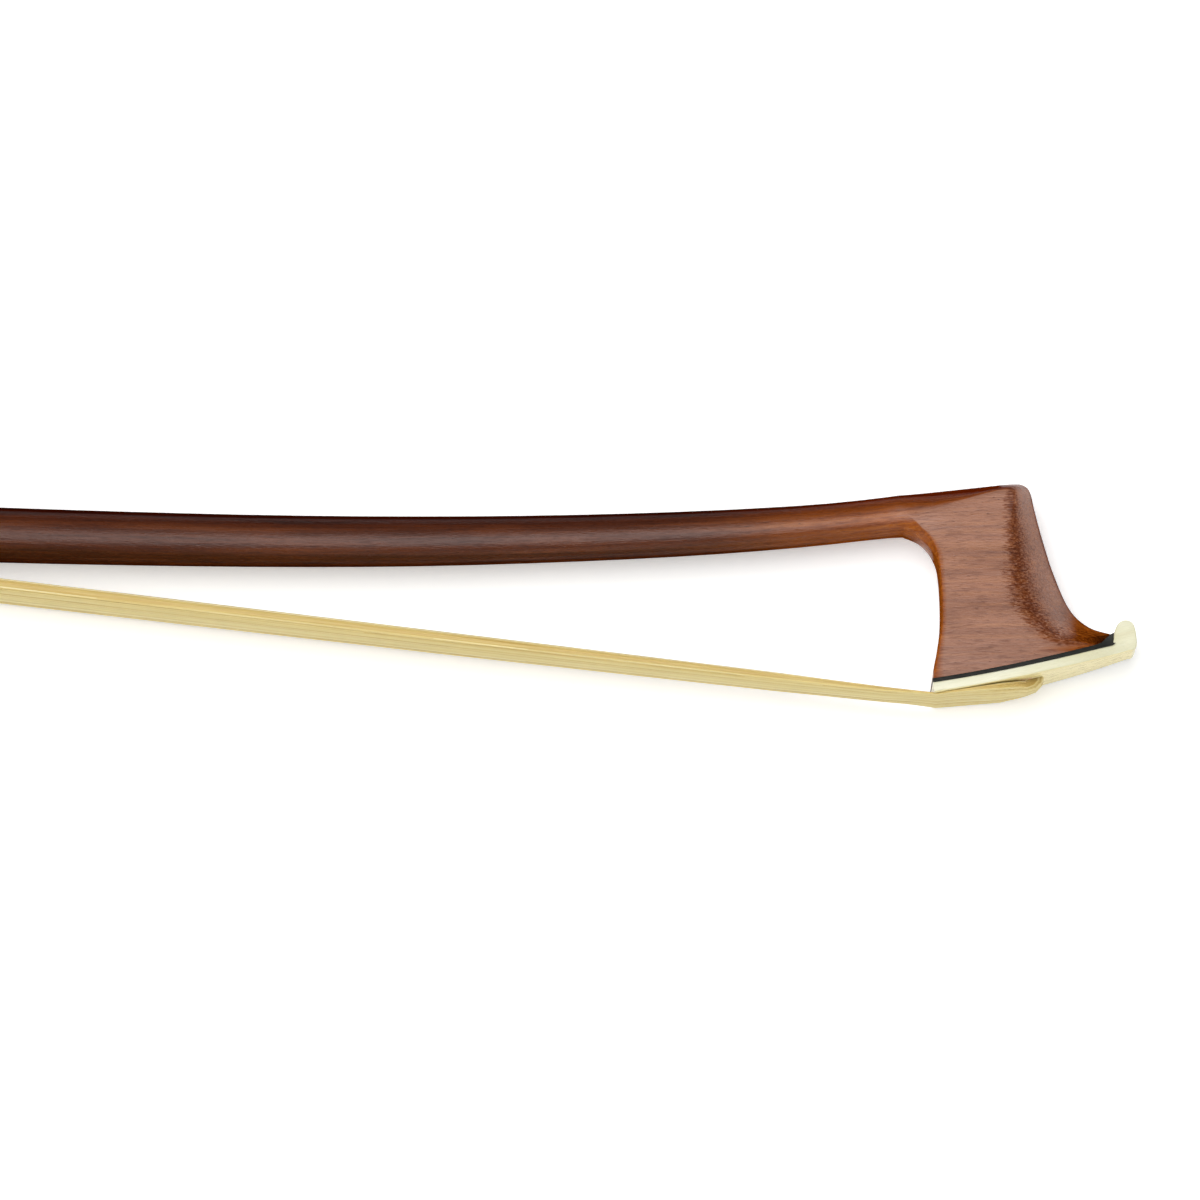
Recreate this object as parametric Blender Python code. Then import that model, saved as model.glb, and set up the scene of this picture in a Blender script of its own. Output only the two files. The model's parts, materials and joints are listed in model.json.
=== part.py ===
"""Viola bow: cambered stick with its carved head, tip plate, hair, frog and adjusting screw.

The bow is drawn in its own frame, in metres: x runs along the hair towards the head, z from the
hair up to the stick, and y across the bow, with the origin at the heel of the tip plate. The frog
and the screw are drawn in the handle's frame, whose x axis is the axis of the screw, starting at
the butt of the stick. The finished bow lies on its side, with the origin under its middle.
"""

import math

import bmesh
import bpy
from mathutils import Matrix, Vector

mm = 0.001

# Fits between pieces
SEAT = 0.25 * mm
RUNNING = 0.2 * mm

# Stick: straight octagonal handle, then a round cambered shaft up to the neck of the head
BUTT_X = -703.0 * mm
HANDLE_TILT = math.radians(3.9)
HANDLE_LENGTH = 112.0 * mm
OCTAGON_END = 103.0 * mm
OCTAGON_FADE = 6.0 * mm
HANDLE_FLATS = 8.9 * mm
ROUND_START = 8.75 * mm
TENON_LENGTH = 1.6 * mm
TENON_RADIUS = 3.0 * mm
STICK_SIDES = 32
SHAFT_STATIONS = 24

# Camber: bow x, bow z and slope of the shaft's axis after the handle
CAMBER = (
    (-195.0 * mm, 3.3 * mm, 0.0),
    (-121.0 * mm, 5.7 * mm, 0.092),
    (-57.0 * mm, 12.85 * mm, 0.145),
    (-19.0 * mm, 19.3 * mm, 0.205),
    (-6.6 * mm, 22.15 * mm, 0.232),
)
# Diameter of the round shaft: bow x and diameter
THICKNESS = (
    (-592.0 * mm, ROUND_START),
    (-400.0 * mm, 8.3 * mm),
    (-250.0 * mm, 7.8 * mm),
    (-121.0 * mm, 7.15 * mm),
    (-70.0 * mm, 6.5 * mm),
    (-32.0 * mm, 5.75 * mm),
    (-13.0 * mm, 5.25 * mm),
    (-6.6 * mm, 5.34 * mm),
)

# Head: cross-cuts that fan round the throat, from the neck to the foot. Each gives the throat
# point x, z and the crest point x, z in mm, then the width of the throat bevel and the depth of
# the front facet in mm, how far the round stick has turned into the carved head, and the sag in
# mm of the cut between its two ends.
HEAD_CUTS = (
    (-6.00, 19.60, -7.2, 24.80, 2.2, 2.4, 0.00, 0.0),
    (-4.00, 19.00, -2.2, 25.95, 1.9, 2.2, 0.25, 0.0),
    (-2.60, 18.05, 2.8, 27.12, 1.5, 1.6, 0.55, 0.0),
    (-1.70, 16.95, 7.0, 28.08, 1.1, 1.3, 0.85, 0.0),
    (-1.30, 16.10, 8.7, 28.15, 1.0, 1.6, 0.95, 0.0),
    (-1.05, 15.30, 9.7, 27.30, 0.9, 2.2, 1.00, 0.0),
    (-0.60, 13.60, 10.6, 24.80, 0.8, 3.1, 1.00, 0.0),
    (-0.05, 10.80, 12.0, 21.20, 0.7, 3.6, 1.00, 0.0),
    (0.25, 7.80, 13.9, 16.90, 0.7, 4.0, 1.00, 0.0),
    (0.22, 5.00, 16.4, 12.60, 0.7, 4.0, 1.00, 0.1),
    (0.08, 2.90, 19.1, 10.55, 0.7, 2.8, 1.00, 0.3),
    (0.04, 1.70, 21.5, 10.00, 0.7, 1.2, 1.00, 0.4),
    (0.00, 0.90, 20.7, 8.25, 0.7, 0.4, 1.00, 0.45),
)
HEAD_TOP_HALF_WIDTH = 2.55 * mm
HEAD_TOP_Z = 27.0 * mm
FACET_ROUNDING = 0.9 * mm
BACK_CROWN = 0.12 * mm

# Foot of the head: a gentle curve that lining and plate follow from heel to toe
FOOT_SLOPE = 0.275
FOOT_BEND = 3.8
PLATE_HALF_WIDTH = 5.2 * mm
PLATE_TAPER_LENGTH = 31.0 * mm
PLATE_THICKNESS = 1.4 * mm
PLATE_TOP = -0.1 * mm
LINING_BOTTOM = 0.15 * mm
LINING_TOP = 0.6 * mm
LINING_REST_X = 4.0 * mm

# Mortise in the head for the hair, square to the foot
HEAD_MORTISE_X = 11.4 * mm
HEAD_MORTISE_LENGTH = 6.4 * mm
HEAD_MORTISE_WIDTH = 6.0 * mm
HEAD_MORTISE_DEPTH = 8.0 * mm
HAIR_OFFSET_IN_MORTISE = 1.6 * mm
TIP_PLUG_FRONT = 0.75 * mm
TIP_PLUG_TOP = 4.6 * mm
KNEE_RADIUS = 0.8 * mm
KNEE_DROP = 1.35 * mm
TIP_KNOT_RADIUS = 1.3 * mm
TIP_KNOT_LENGTH = 5.0 * mm
TIP_KNOT_HEIGHT = 6.3 * mm

# Hair: height of the straight stretch, and its depth below the screw axis in the ferrule
HAIR_Z = -1.65 * mm
HAIR_DROP = 20.8 * mm
CHANNEL_DROP = 20.05 * mm
# Ribbon against the tip plate: x, half width and thickness in mm
HAIR_UNDER_HEAD = ((8.0, 3.1, 0.85), (5.0, 3.3, 0.65), (2.5, 3.45, 0.5), (0.4, 3.6, 0.35))
# Ribbon between the heads: x, z, half width and thickness in mm
HAIR_RUN = (
    (-2.0, -1.7, 3.65, 0.45),
    (-6.0, -1.47, 3.75, 0.75),
    (-20.0, -1.47, 4.0, 1.3),
    (-60.0, -1.6, 4.5, 1.7),
    (-120.0, -1.7, 5.2, 1.85),
    (-300.0, -1.65, 5.6, 1.4),
)

# Frog, measured from its back edge towards the head and from the screw axis down
FROG_BACK = 6.0 * mm
FROG_BODY_FRONT = 35.75 * mm
FROG_TONGUE_FRONT = 45.6 * mm
FROG_BOTTOM = -22.0 * mm
FROG_TOP = -2.2 * mm
FROG_HALF_WIDTH_BACK = 6.1 * mm
FROG_HALF_WIDTH_FRONT = 7.0 * mm
THUMB_FRONT = 40.8 * mm
THUMB_CORNER = 0.6 * mm
THUMB_LIP = (40.3 * mm, -5.0 * mm)
SHOULDER_HALF_WIDTH = 5.55 * mm
SHOULDER_DEPTH = 2.4 * mm
THUMB_HOLLOW_CENTRE = (37.4 * mm, -8.9 * mm)
THUMB_HOLLOW_RADII = (6.2 * mm, 3.9 * mm)
UNDERSLIDE_THICKNESS = 0.4 * mm

HEEL_LENGTH = 9.4 * mm
HEEL_TOP = -6.0 * mm
HEEL_THICKNESS = 0.9 * mm
HEEL_RADIUS = 1.6 * mm

FERRULE_BACK = 36.0 * mm
FERRULE_LENGTH = 10.5 * mm
FERRULE_HALF_WIDTH = 7.4 * mm
FERRULE_WALL = 0.7 * mm
FERRULE_ARCH_BASE = -17.2 * mm
FERRULE_TOP = -12.7 * mm
FERRULE_CORNER = 1.0 * mm
TONGUE_BOTTOM = -19.0 * mm

SLIDE_BACK = 9.9 * mm
SLIDE_FRONT = 35.5 * mm
SLIDE_HALF_WIDTH = 4.4 * mm
PEARL_THICKNESS = 0.65 * mm
BACKING_TOP = -20.65 * mm
BACKING_BOTTOM = -21.1 * mm
BACKING_HALF_WIDTH = 4.7 * mm

FROG_MORTISE = (19.5 * mm, 28.0 * mm)
FROG_MORTISE_HALF_WIDTH = 4.3 * mm
FROG_MORTISE_TOP = -13.2 * mm
FROG_KNOT_RADIUS = 1.4 * mm

EYE_X = 18.5 * mm
EYE_Z = -12.6 * mm
EYE_RADIUS = 3.1 * mm
EYE_RING_INNER = 3.9 * mm
EYE_RING_OUTER = 4.5 * mm
EYE_THICKNESS = 0.75 * mm
EYE_SEAT_DEPTH = 1.0 * mm

# Eyelet and the slot in the handle that it travels in
EYELET_X = 24.0 * mm
EYELET_HALF_LENGTH = 3.4 * mm
EYELET_HALF_WIDTH = 2.05 * mm
EYELET_TOP = 2.3 * mm
EYELET_BOTTOM = -2.6 * mm
EYELET_BORE = 1.65 * mm
STEM_RADIUS = 1.5 * mm
STEM_BOTTOM = -10.4 * mm
SLOT_BACK = 18.0 * mm
SLOT_FRONT = 37.9 * mm
SLOT_HALF_WIDTH = 2.3 * mm
SLOT_TOP = 2.6 * mm

# Screw and button, along the screw axis
SCREW_SHANK_RADIUS = 1.6 * mm
SCREW_THREAD_RADIUS = 1.45 * mm
SCREW_SHANK_END = 16.5 * mm
SCREW_TIP = 45.0 * mm
SCREW_HEAD_END = -14.5 * mm
BUTT_BORE = 1.9 * mm
PILOT_BORE = 1.75 * mm
PILOT_END = 47.0 * mm
BUTTON_BORE = 1.85 * mm
BUTTON_HALF_FLATS = 4.6 * mm
BUTTON_START = -0.3 * mm
BUTTON_CORE = (-11.9 * mm, -5.45 * mm)
BUTTON_REAR = (-16.3 * mm, -12.15 * mm)
TENON_SOCKET_RADIUS = 3.3 * mm
TENON_SOCKET_END = -2.2 * mm
BUTTON_EYE_RADIUS = 2.75 * mm
BUTTON_EYE_SEAT_DEPTH = 0.9 * mm

# Grip and lapping, along the stick from the butt
GRIP = (55.0 * mm, 78.0 * mm)
GRIP_THICKNESS = 1.0 * mm
LAPPING = (78.3 * mm, 153.0 * mm)
LAPPING_THICKNESS = 0.45 * mm

# Finishes: colour, roughness and metallic value
BOW_WOOD = ((0.165, 0.045, 0.020), 0.30, 0.0)
BLACK_FIBRE = ((0.022, 0.024, 0.028), 0.45, 0.0)
BONE = ((0.83, 0.78, 0.55), 0.35, 0.0)
HORSEHAIR = ((0.69, 0.56, 0.25), 0.50, 0.0)
MAPLE = ((0.60, 0.42, 0.22), 0.60, 0.0)
LINEN_THREAD = ((0.30, 0.18, 0.10), 0.80, 0.0)
LEATHER = ((0.030, 0.022, 0.018), 0.60, 0.0)
SILVER = ((0.78, 0.77, 0.74), 0.25, 1.0)
EBONY = ((0.012, 0.010, 0.009), 0.35, 0.0)
PEARL = ((0.80, 0.80, 0.76), 0.20, 0.0)
BRASS = ((0.72, 0.52, 0.22), 0.30, 1.0)
STEEL = ((0.55, 0.55, 0.56), 0.30, 1.0)

SHARP_EDGE = math.radians(32)


# Building pieces and cutters
def closed_mesh(name, points, faces):
    mesh = bpy.data.meshes.new(name)
    mesh.from_pydata(points, [], faces)
    shell = bmesh.new()
    shell.from_mesh(mesh)
    bmesh.ops.remove_doubles(shell, verts=shell.verts, dist=0.001 * mm)
    bmesh.ops.recalc_face_normals(shell, faces=shell.faces)
    shell.to_mesh(mesh)
    shell.free()
    mesh.shade_smooth()
    mesh.set_sharp_from_angle(angle=SHARP_EDGE)
    return mesh


def place(name, shape, parent):
    points, faces = shape
    thing = bpy.data.objects.new(name, closed_mesh(name, points, faces))
    bpy.context.scene.collection.objects.link(thing)
    thing.parent = parent
    return thing


def add_piece(name, shape, finish, parent):
    thing = place(name, shape, parent)
    colour, roughness, metallic = finish
    material = bpy.data.materials.new(name)
    material.use_nodes = True
    shader = material.node_tree.nodes["Principled BSDF"]
    shader.inputs["Base Color"].default_value = (*colour, 1.0)
    shader.inputs["Roughness"].default_value = roughness
    shader.inputs["Metallic"].default_value = metallic
    thing.data.materials.append(material)
    return thing


def combine(piece, name, shape, operation="DIFFERENCE"):
    """Cuts the shape out of the piece, or joins or intersects it, and keeps it as a guide."""
    guide = place(piece.name + "_" + name, shape, piece.parent)
    guide.hide_render = True
    guide.display_type = "WIRE"
    step = piece.modifiers.new(name, "BOOLEAN")
    step.operation = operation
    step.solver = "EXACT"
    step.object = guide


# Shapes: each is a list of points and a list of faces
def loft(rings, closed=False, mirrored=False):
    """Joins rings of equal count. Open lofts get flat ends, or laddered ends on mirrored rings."""
    sides = len(rings[0])
    points = [point for ring in rings for point in ring]
    faces = []
    spans = len(rings) if closed else len(rings) - 1
    for i in range(spans):
        a = i * sides
        b = (i + 1) % len(rings) * sides
        for k in range(sides):
            n = (k + 1) % sides
            faces.append((a + k, a + n, b + n, b + k))
    if not closed:
        for start in (0, (len(rings) - 1) * sides):
            faces += end_faces(start, sides, mirrored)
    return points, faces


def end_faces(start, sides, mirrored):
    if not mirrored:
        return [tuple(range(start, start + sides))]
    faces = []
    for k in range(sides // 2):
        corners = [k, k + 1, sides - k - 1, (sides - k) % sides]
        faces.append(tuple(start + c for c in dict.fromkeys(corners)))
    return faces


def across(outline, half_width):
    """Extrudes an outline of (x, z) to both sides; the half width may vary along x."""
    width = half_width if callable(half_width) else lambda x: half_width
    near = [Vector((x, -width(x), z)) for x, z in outline]
    far = [Vector((x, width(x), z)) for x, z in outline]
    return loft([near, far])


def along(outline, start, end):
    """Extrudes an outline of (y, z) from one x to another."""
    return loft([[Vector((x, y, z)) for y, z in outline] for x in (start, end)])


def upright(outline, bottom, top):
    """Extrudes an outline of (x, y) from one z to another."""
    return loft([[Vector((x, y, z)) for x, y in outline] for z in (bottom, top)])


def box(x_span, half_width, z_span):
    (x0, x1), (z0, z1) = x_span, z_span
    return across(((x0, z0), (x1, z0), (x1, z1), (x0, z1)), half_width)


def ring_on_axis(x, radius, sides=24):
    turn = 2 * math.pi / sides
    angles = [k * turn for k in range(sides)]
    return [Vector((x, radius * math.sin(a), radius * math.cos(a))) for a in angles]


def short_ring(x, radius):
    return ring_on_axis(x, radius, 16)


def octagon_on_axis(x, half_flats):
    reach = half_flats / math.cos(math.pi / 8)
    turns = [(k + 0.5) * math.pi / 4 for k in range(8)]
    return [Vector((x, reach * math.sin(a), reach * math.cos(a))) for a in turns]


def turned(profile, ring=ring_on_axis, closed=False):
    """Turns a profile of (x, radius) about the x axis, or builds it from another kind of ring."""
    return loft([ring(x, radius) for x, radius in profile], closed)


def moved(shape, matrix):
    points, faces = shape
    return [matrix @ point for point in points], faces


def ellipse_arc(centre, radii, start, end, steps):
    (cx, cz), (rx, rz) = centre, radii
    angles = [math.radians(start + (end - start) * k / steps) for k in range(steps + 1)]
    return [(cx + rx * math.cos(a), cz + rz * math.sin(a)) for a in angles]


# Reading values along the bow
def straight_between(table, x):
    for (x0, v0), (x1, v1) in zip(table, table[1:]):
        if x <= x1:
            t = max(0.0, (x - x0) / (x1 - x0))
            return v0 + (v1 - v0) * t
    return table[-1][1]


def curve_between(knots, x):
    """Height and slope of the cubic curve through knots of (x, z, slope)."""
    i = 0
    while i < len(knots) - 2 and x > knots[i + 1][0]:
        i += 1
    (x0, z0, s0), (x1, z1, s1) = knots[i], knots[i + 1]
    span = x1 - x0
    t = (x - x0) / span
    z = (
        z0 * (2 * t**3 - 3 * t**2 + 1)
        + s0 * span * (t**3 - 2 * t**2 + t)
        + z1 * (3 * t**2 - 2 * t**3)
        + s1 * span * (t**3 - t**2)
    )
    slope = (
        (z0 - z1) * (6 * t**2 - 6 * t) / span
        + s0 * (3 * t**2 - 4 * t + 1)
        + s1 * (3 * t**2 - 2 * t)
    )
    return z, slope


def smooth_between(rows, i, t):
    """Row between rows i and i + 1 on a curve that passes through all of them."""
    before = rows[max(i - 1, 0)]
    after = rows[min(i + 2, len(rows) - 1)]
    row = []
    for p, a, b, n in zip(before, rows[i], rows[i + 1], after):
        bend = 2 * p - 5 * a + 4 * b - n
        twist = 3 * a - p - 3 * b + n
        row.append(0.5 * (2 * a + (b - p) * t + bend * t**2 + twist * t**3))
    return row


# The handle's frame, placed so that the hair leaves the ferrule on its straight line
ferrule_mouth = FROG_BACK + FERRULE_BACK + FERRULE_LENGTH
butt_z = HAIR_Z + ferrule_mouth * math.sin(HANDLE_TILT) + HAIR_DROP * math.cos(HANDLE_TILT)
HANDLE = Matrix.Translation((BUTT_X, 0, butt_z)) @ Matrix.Rotation(HANDLE_TILT, 4, "Y")
handle_end = HANDLE @ Vector((HANDLE_LENGTH, 0, 0))
SHAFT = ((handle_end.x, handle_end.z, -math.tan(HANDLE_TILT)), *CAMBER)


# Stick
def stick_ring(distance, grow=0.0):
    """Cross-section of the stick at a distance from the butt, grown outwards for a sleeve."""
    fade = (distance - OCTAGON_END) / OCTAGON_FADE
    flats = 1.0 - min(max(fade, 0.0), 1.0)
    if distance <= HANDLE_LENGTH:
        diameter = HANDLE_FLATS + (ROUND_START - HANDLE_FLATS) * distance / HANDLE_LENGTH
        frame = HANDLE @ Matrix.Translation((distance, 0, 0))
    else:
        x = handle_end.x + distance - HANDLE_LENGTH
        z, slope = curve_between(SHAFT, x)
        diameter = straight_between(THICKNESS, x)
        frame = Matrix.Translation((x, 0, z)) @ Matrix.Rotation(-math.atan(slope), 4, "Y")
    ring = []
    for k in range(STICK_SIDES):
        angle = 2 * math.pi * k / STICK_SIDES
        from_flat = (angle + math.pi / 8) % (math.pi / 4) - math.pi / 8
        swell = 1.0 + flats * (1.0 / math.cos(from_flat) - 1.0)
        radius = (diameter / 2 + grow) * swell
        ring.append(frame @ Vector((0, -radius * math.sin(angle), -radius * math.cos(angle))))
    return ring


def foot_z(x):
    return FOOT_SLOPE * x + FOOT_BEND * x * x


def on_foot(x, height):
    """Point at a height square to the foot curve: x and z."""
    tilt = math.atan(FOOT_SLOPE + 2 * FOOT_BEND * x)
    return x - height * math.sin(tilt), foot_z(x) + height * math.cos(tilt)


def plate_half_width(x):
    return PLATE_HALF_WIDTH * (1 - max(x, 0.0) ** 3 / PLATE_TAPER_LENGTH**3)


def cheek_half_width(x, z):
    """The cheeks flare from the top of the head out to the foot."""
    foot = foot_z(max(x, 0.0))
    rise = min(max((z - foot) / (HEAD_TOP_Z - foot), 0.0), 1.0)
    return HEAD_TOP_HALF_WIDTH + (plate_half_width(x) - HEAD_TOP_HALF_WIDTH) * (1 - rise) ** 1.5


def head_ring(row):
    throat = Vector((row[0] * mm, 0, row[1] * mm))
    crest = Vector((row[2] * mm, 0, row[3] * mm))
    bevel, facet, sag = row[4] * mm, row[5] * mm, row[7] * mm
    carved = min(row[6], 1.0)
    span = crest - throat
    length = span.length
    down = Vector((span.z, 0, -span.x)).normalized()
    edge = length - facet
    setback = min(FACET_ROUNDING, facet * 0.45)

    def cheek(v):
        p = throat + span * (v / length)
        return cheek_half_width(p.x, p.z)

    back = max(cheek(0) - bevel, 0.5 * mm)
    corner = Vector((edge, cheek(edge)))
    rounding_start = Vector((edge - setback, cheek(edge - setback)))
    rounding_end = corner.lerp(Vector((length, 0)), setback / facet)
    profile = [Vector((-BACK_CROWN, 0)), Vector((-BACK_CROWN * 0.7, back / 2)), Vector((0, back))]
    profile.append(Vector((bevel / 2, (back + cheek(bevel)) / 2)))
    profile += [
        Vector((v, cheek(v)))
        for v in (bevel + (edge - setback - bevel) * k / 7 for k in range(8))
    ]
    profile += [
        rounding_start.lerp(corner, t).lerp(corner.lerp(rounding_end, t), t)
        for t in (1 / 3, 2 / 3, 1.0)
    ]
    profile += [rounding_end.lerp(Vector((length, 0)), 0.5), Vector((length, 0))]

    half = []
    for k, (v, y) in enumerate(profile):
        angle = math.pi * k / (len(profile) - 1)
        round_v = length / 2 * (1 - math.cos(angle))
        round_y = THICKNESS[-1][1] / 2 * math.sin(angle)
        v = round_v + (v - round_v) * carved
        y = round_y + (y - round_y) * carved
        t = v / length
        half.append(throat + span * t + down * (sag * 4 * t * (1 - t)) + Vector((0, -y, 0)))
    mirrored = [Vector((p.x, -p.y, p.z)) for p in half[-2:0:-1]]
    return half + mirrored


def stick_shape():
    tenon = [ring_on_axis(x, TENON_RADIUS, STICK_SIDES) for x in (-TENON_LENGTH, 0)]
    rings = [[HANDLE @ Vector((p.x, -p.y, -p.z)) for p in ring] for ring in tenon]
    rings += [stick_ring(d) for d in (0, OCTAGON_END / 2, OCTAGON_END, OCTAGON_END + OCTAGON_FADE)]
    neck = CAMBER[-1][0] - handle_end.x
    for k in range(SHAFT_STATIONS):
        remaining = (1 - k / SHAFT_STATIONS) ** 1.4
        rings.append(stick_ring(HANDLE_LENGTH + neck * (1 - remaining)))
    carved_rows = HEAD_CUTS[:-1]
    for i in range(len(carved_rows) - 1):
        rings += [head_ring(smooth_between(carved_rows, i, t)) for t in (0.0, 0.5)]
    rings += [head_ring(row) for row in HEAD_CUTS[-2:]]
    return loft(rings, mirrored=True)


def head_mortise_frame():
    x, z = on_foot(HEAD_MORTISE_X, 0.0)
    tilt = math.atan(FOOT_SLOPE + 2 * FOOT_BEND * HEAD_MORTISE_X)
    return Matrix.Translation((x, 0, z)) @ Matrix.Rotation(-tilt, 4, "Y")


def head_mortise_cut():
    half = HEAD_MORTISE_LENGTH / 2
    below = -3.0 * mm
    cut = box((-half, half), HEAD_MORTISE_WIDTH / 2, (below, HEAD_MORTISE_DEPTH))
    return moved(cut, head_mortise_frame())


def make_stick(bow):
    stick = add_piece("stick", stick_shape(), BOW_WOOD, bow)
    bore = turned(((-TENON_LENGTH - SEAT, BUTT_BORE), (SLOT_BACK + SEAT, BUTT_BORE)))
    pilot = turned(((SLOT_FRONT - SEAT, PILOT_BORE), (PILOT_END, PILOT_BORE)))
    slot = box((SLOT_BACK, SLOT_FRONT), SLOT_HALF_WIDTH, (-HANDLE_FLATS, SLOT_TOP))
    combine(stick, "screw_bore", moved(bore, HANDLE))
    combine(stick, "pilot_bore", moved(pilot, HANDLE))
    combine(stick, "eyelet_slot", moved(slot, HANDLE))
    combine(stick, "hair_mortise", head_mortise_cut())


# Lining and plate: a side profile, trimmed to the outline of the foot
def foot_outline():
    stations = [k * 1.3 * mm for k in range(21)]
    near = [(x, -plate_half_width(x)) for x in stations]
    far = [(x, plate_half_width(x)) for x in reversed(stations)]
    return [(-1.0 * mm, -PLATE_HALF_WIDTH), *near, *far, (-1.0 * mm, PLATE_HALF_WIDTH)]


def along_foot(start, end, height, steps=12):
    return [on_foot(start + (end - start) * k / steps, height) for k in range(steps + 1)]


def make_head_lining(bow):
    wedge = [(20.95, 8.2), (21.65, 9.55), (22.1, 10.1), (22.3, 10.05), (22.4, 8.6)]
    profile = along_foot(22.2 * mm, 0.25 * mm, LINING_BOTTOM)
    profile += along_foot(0.25 * mm, 20.5 * mm, LINING_TOP)
    profile += [(x * mm, z * mm) for x, z in wedge]
    lining = add_piece("head_lining", across(profile, PLATE_HALF_WIDTH + mm), BLACK_FIBRE, bow)
    outline = upright(foot_outline(), -5 * mm, 15 * mm)
    combine(lining, "outline", outline, "INTERSECT")
    combine(lining, "hair_mortise", head_mortise_cut())


def make_tip_plate(bow):
    beak = [(25.75, 8.2), (25.5, 9.3), (25.05, 10.35), (24.4, 11.2), (23.8, 11.45), (23.2, 11.25)]
    beak += [(22.85, 10.5), (22.65, 9.3)]
    profile = along_foot(0, 25.3 * mm, -PLATE_THICKNESS)
    profile += [(x * mm, z * mm) for x, z in beak]
    profile += along_foot(22.6 * mm, 0, PLATE_TOP)
    plate = add_piece("tip_plate", across(profile, PLATE_HALF_WIDTH + mm), BONE, bow)
    outline = upright(foot_outline(), -5 * mm, 15 * mm)
    combine(plate, "outline", outline, "INTERSECT")
    combine(plate, "hair_mortise", head_mortise_cut())


# Plug and knot in the head
def make_tip_plug(bow):
    back = SEAT - HEAD_MORTISE_LENGTH / 2
    outline = (
        (back, -PLATE_THICKNESS),
        (TIP_PLUG_FRONT, -PLATE_THICKNESS),
        (TIP_PLUG_FRONT - 0.15 * mm, TIP_PLUG_TOP),
        (back + 0.35 * mm, TIP_PLUG_TOP),
    )
    plug = across(outline, HEAD_MORTISE_WIDTH / 2 - SEAT)
    add_piece("tip_plug", moved(plug, head_mortise_frame()), MAPLE, bow)


def knot_shape(radius, length):
    """Hair end bound with thread: a short barrel lying across the bow."""
    profile = [(-0.5, 0.72), (-0.42, 0.95), (-0.14, 1.0), (0.14, 1.0), (0.42, 0.95), (0.5, 0.72)]
    barrel = turned([(x * length, r * radius) for x, r in profile], short_ring)
    return moved(barrel, Matrix.Rotation(math.pi / 2, 4, "Z"))


def make_tip_knot(bow):
    centre = Matrix.Translation((HAIR_OFFSET_IN_MORTISE - SEAT, 0, TIP_KNOT_HEIGHT))
    knot = moved(knot_shape(TIP_KNOT_RADIUS, TIP_KNOT_LENGTH), head_mortise_frame() @ centre)
    add_piece("tip_knot", knot, LINEN_THREAD, bow)


# Hair
def hair_path():
    """Middle line of the ribbon from knot to knot: point, half width and thickness."""
    mortise = head_mortise_frame()
    rows = []

    def add(frame, x, z, half_width, thickness):
        rows.append((frame @ Vector((x, 0, z)), half_width * mm, thickness * mm))

    for z in (4.7, 2.0, 0.0):
        add(mortise, HAIR_OFFSET_IN_MORTISE, z * mm, 2.6, 1.0)
    knee = (HAIR_OFFSET_IN_MORTISE - KNEE_RADIUS, -KNEE_DROP)
    for x, z in ellipse_arc(knee, (KNEE_RADIUS, KNEE_RADIUS), 0, -90, 4):
        add(mortise, x, z, 2.7, 0.9)
    for x, half_width, thickness in HAIR_UNDER_HEAD:
        foot_x, foot_height = on_foot(x * mm, -PLATE_THICKNESS - SEAT - thickness / 2 * mm)
        rows.append((Vector((foot_x, 0, foot_height)), half_width * mm, thickness * mm))
    bow = Matrix.Identity(4)
    for x, z, half_width, thickness in HAIR_RUN:
        add(bow, x * mm, z * mm, half_width, thickness)
    add(HANDLE, FROG_BACK + 60.0 * mm, -HAIR_DROP + 0.5 * mm, 5.7, 0.7)
    in_ferrule = ((46.0, HAIR_DROP, 5.7), (37.8, HAIR_DROP, 5.6), (36.7, 20.6 * mm, 5.2))
    for x, drop, half_width in in_ferrule:
        add(HANDLE, FROG_BACK + x * mm, -drop, half_width, 0.5)
    for x in (35.4, 34.2, 28.6):
        add(HANDLE, FROG_BACK + x * mm, -CHANNEL_DROP, 4.3, 0.55)
    turn = (FROG_BACK + 28.1 * mm, -CHANNEL_DROP + 0.9 * mm)
    for x, z in ellipse_arc(turn, (0.9 * mm, 0.9 * mm), -120, -180, 2):
        add(HANDLE, x, z, 4.0, 0.6)
    add(HANDLE, FROG_BACK + 27.15 * mm, -16.3 * mm, 3.7, 0.7)
    return rows


def hair_shape():
    rows = hair_path()
    rings = []
    for i, (centre, half_width, thickness) in enumerate(rows):
        ahead = rows[min(i + 1, len(rows) - 1)][0]
        behind = rows[max(i - 1, 0)][0]
        run = (ahead - behind).normalized()
        out = Vector((run.z, 0, -run.x)) * (thickness / 2)
        side = Vector((0, half_width, 0))
        shoulder = 1 - thickness / half_width / 2
        section = (
            (1, -shoulder),
            (1, 0),
            (1, shoulder),
            (0, 1),
            (-1, shoulder),
            (-1, 0),
            (-1, -shoulder),
            (0, -1),
        )
        rings.append([centre + out * u + side * v for u, v in section])
    return loft(rings)


# Sleeves on the stick
def sleeve(span, thickness, taper, stations):
    start, end = span
    outer, inner = [], []
    for k in range(stations):
        t = k / (stations - 1)
        at = start + (end - start) * t
        full = thickness if 0 < k < stations - 1 else thickness * taper
        outer.append(stick_ring(at, RUNNING + full))
        inner.append(stick_ring(at, RUNNING))
    return loft(outer + inner[::-1], closed=True)


# Frog
def frog_half_width(x):
    t = (x - FROG_BACK) / FERRULE_BACK
    return FROG_HALF_WIDTH_BACK + (FROG_HALF_WIDTH_FRONT - FROG_HALF_WIDTH_BACK) * t


def frog_outline(points):
    return [(FROG_BACK + x, z) for x, z in points]


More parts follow.
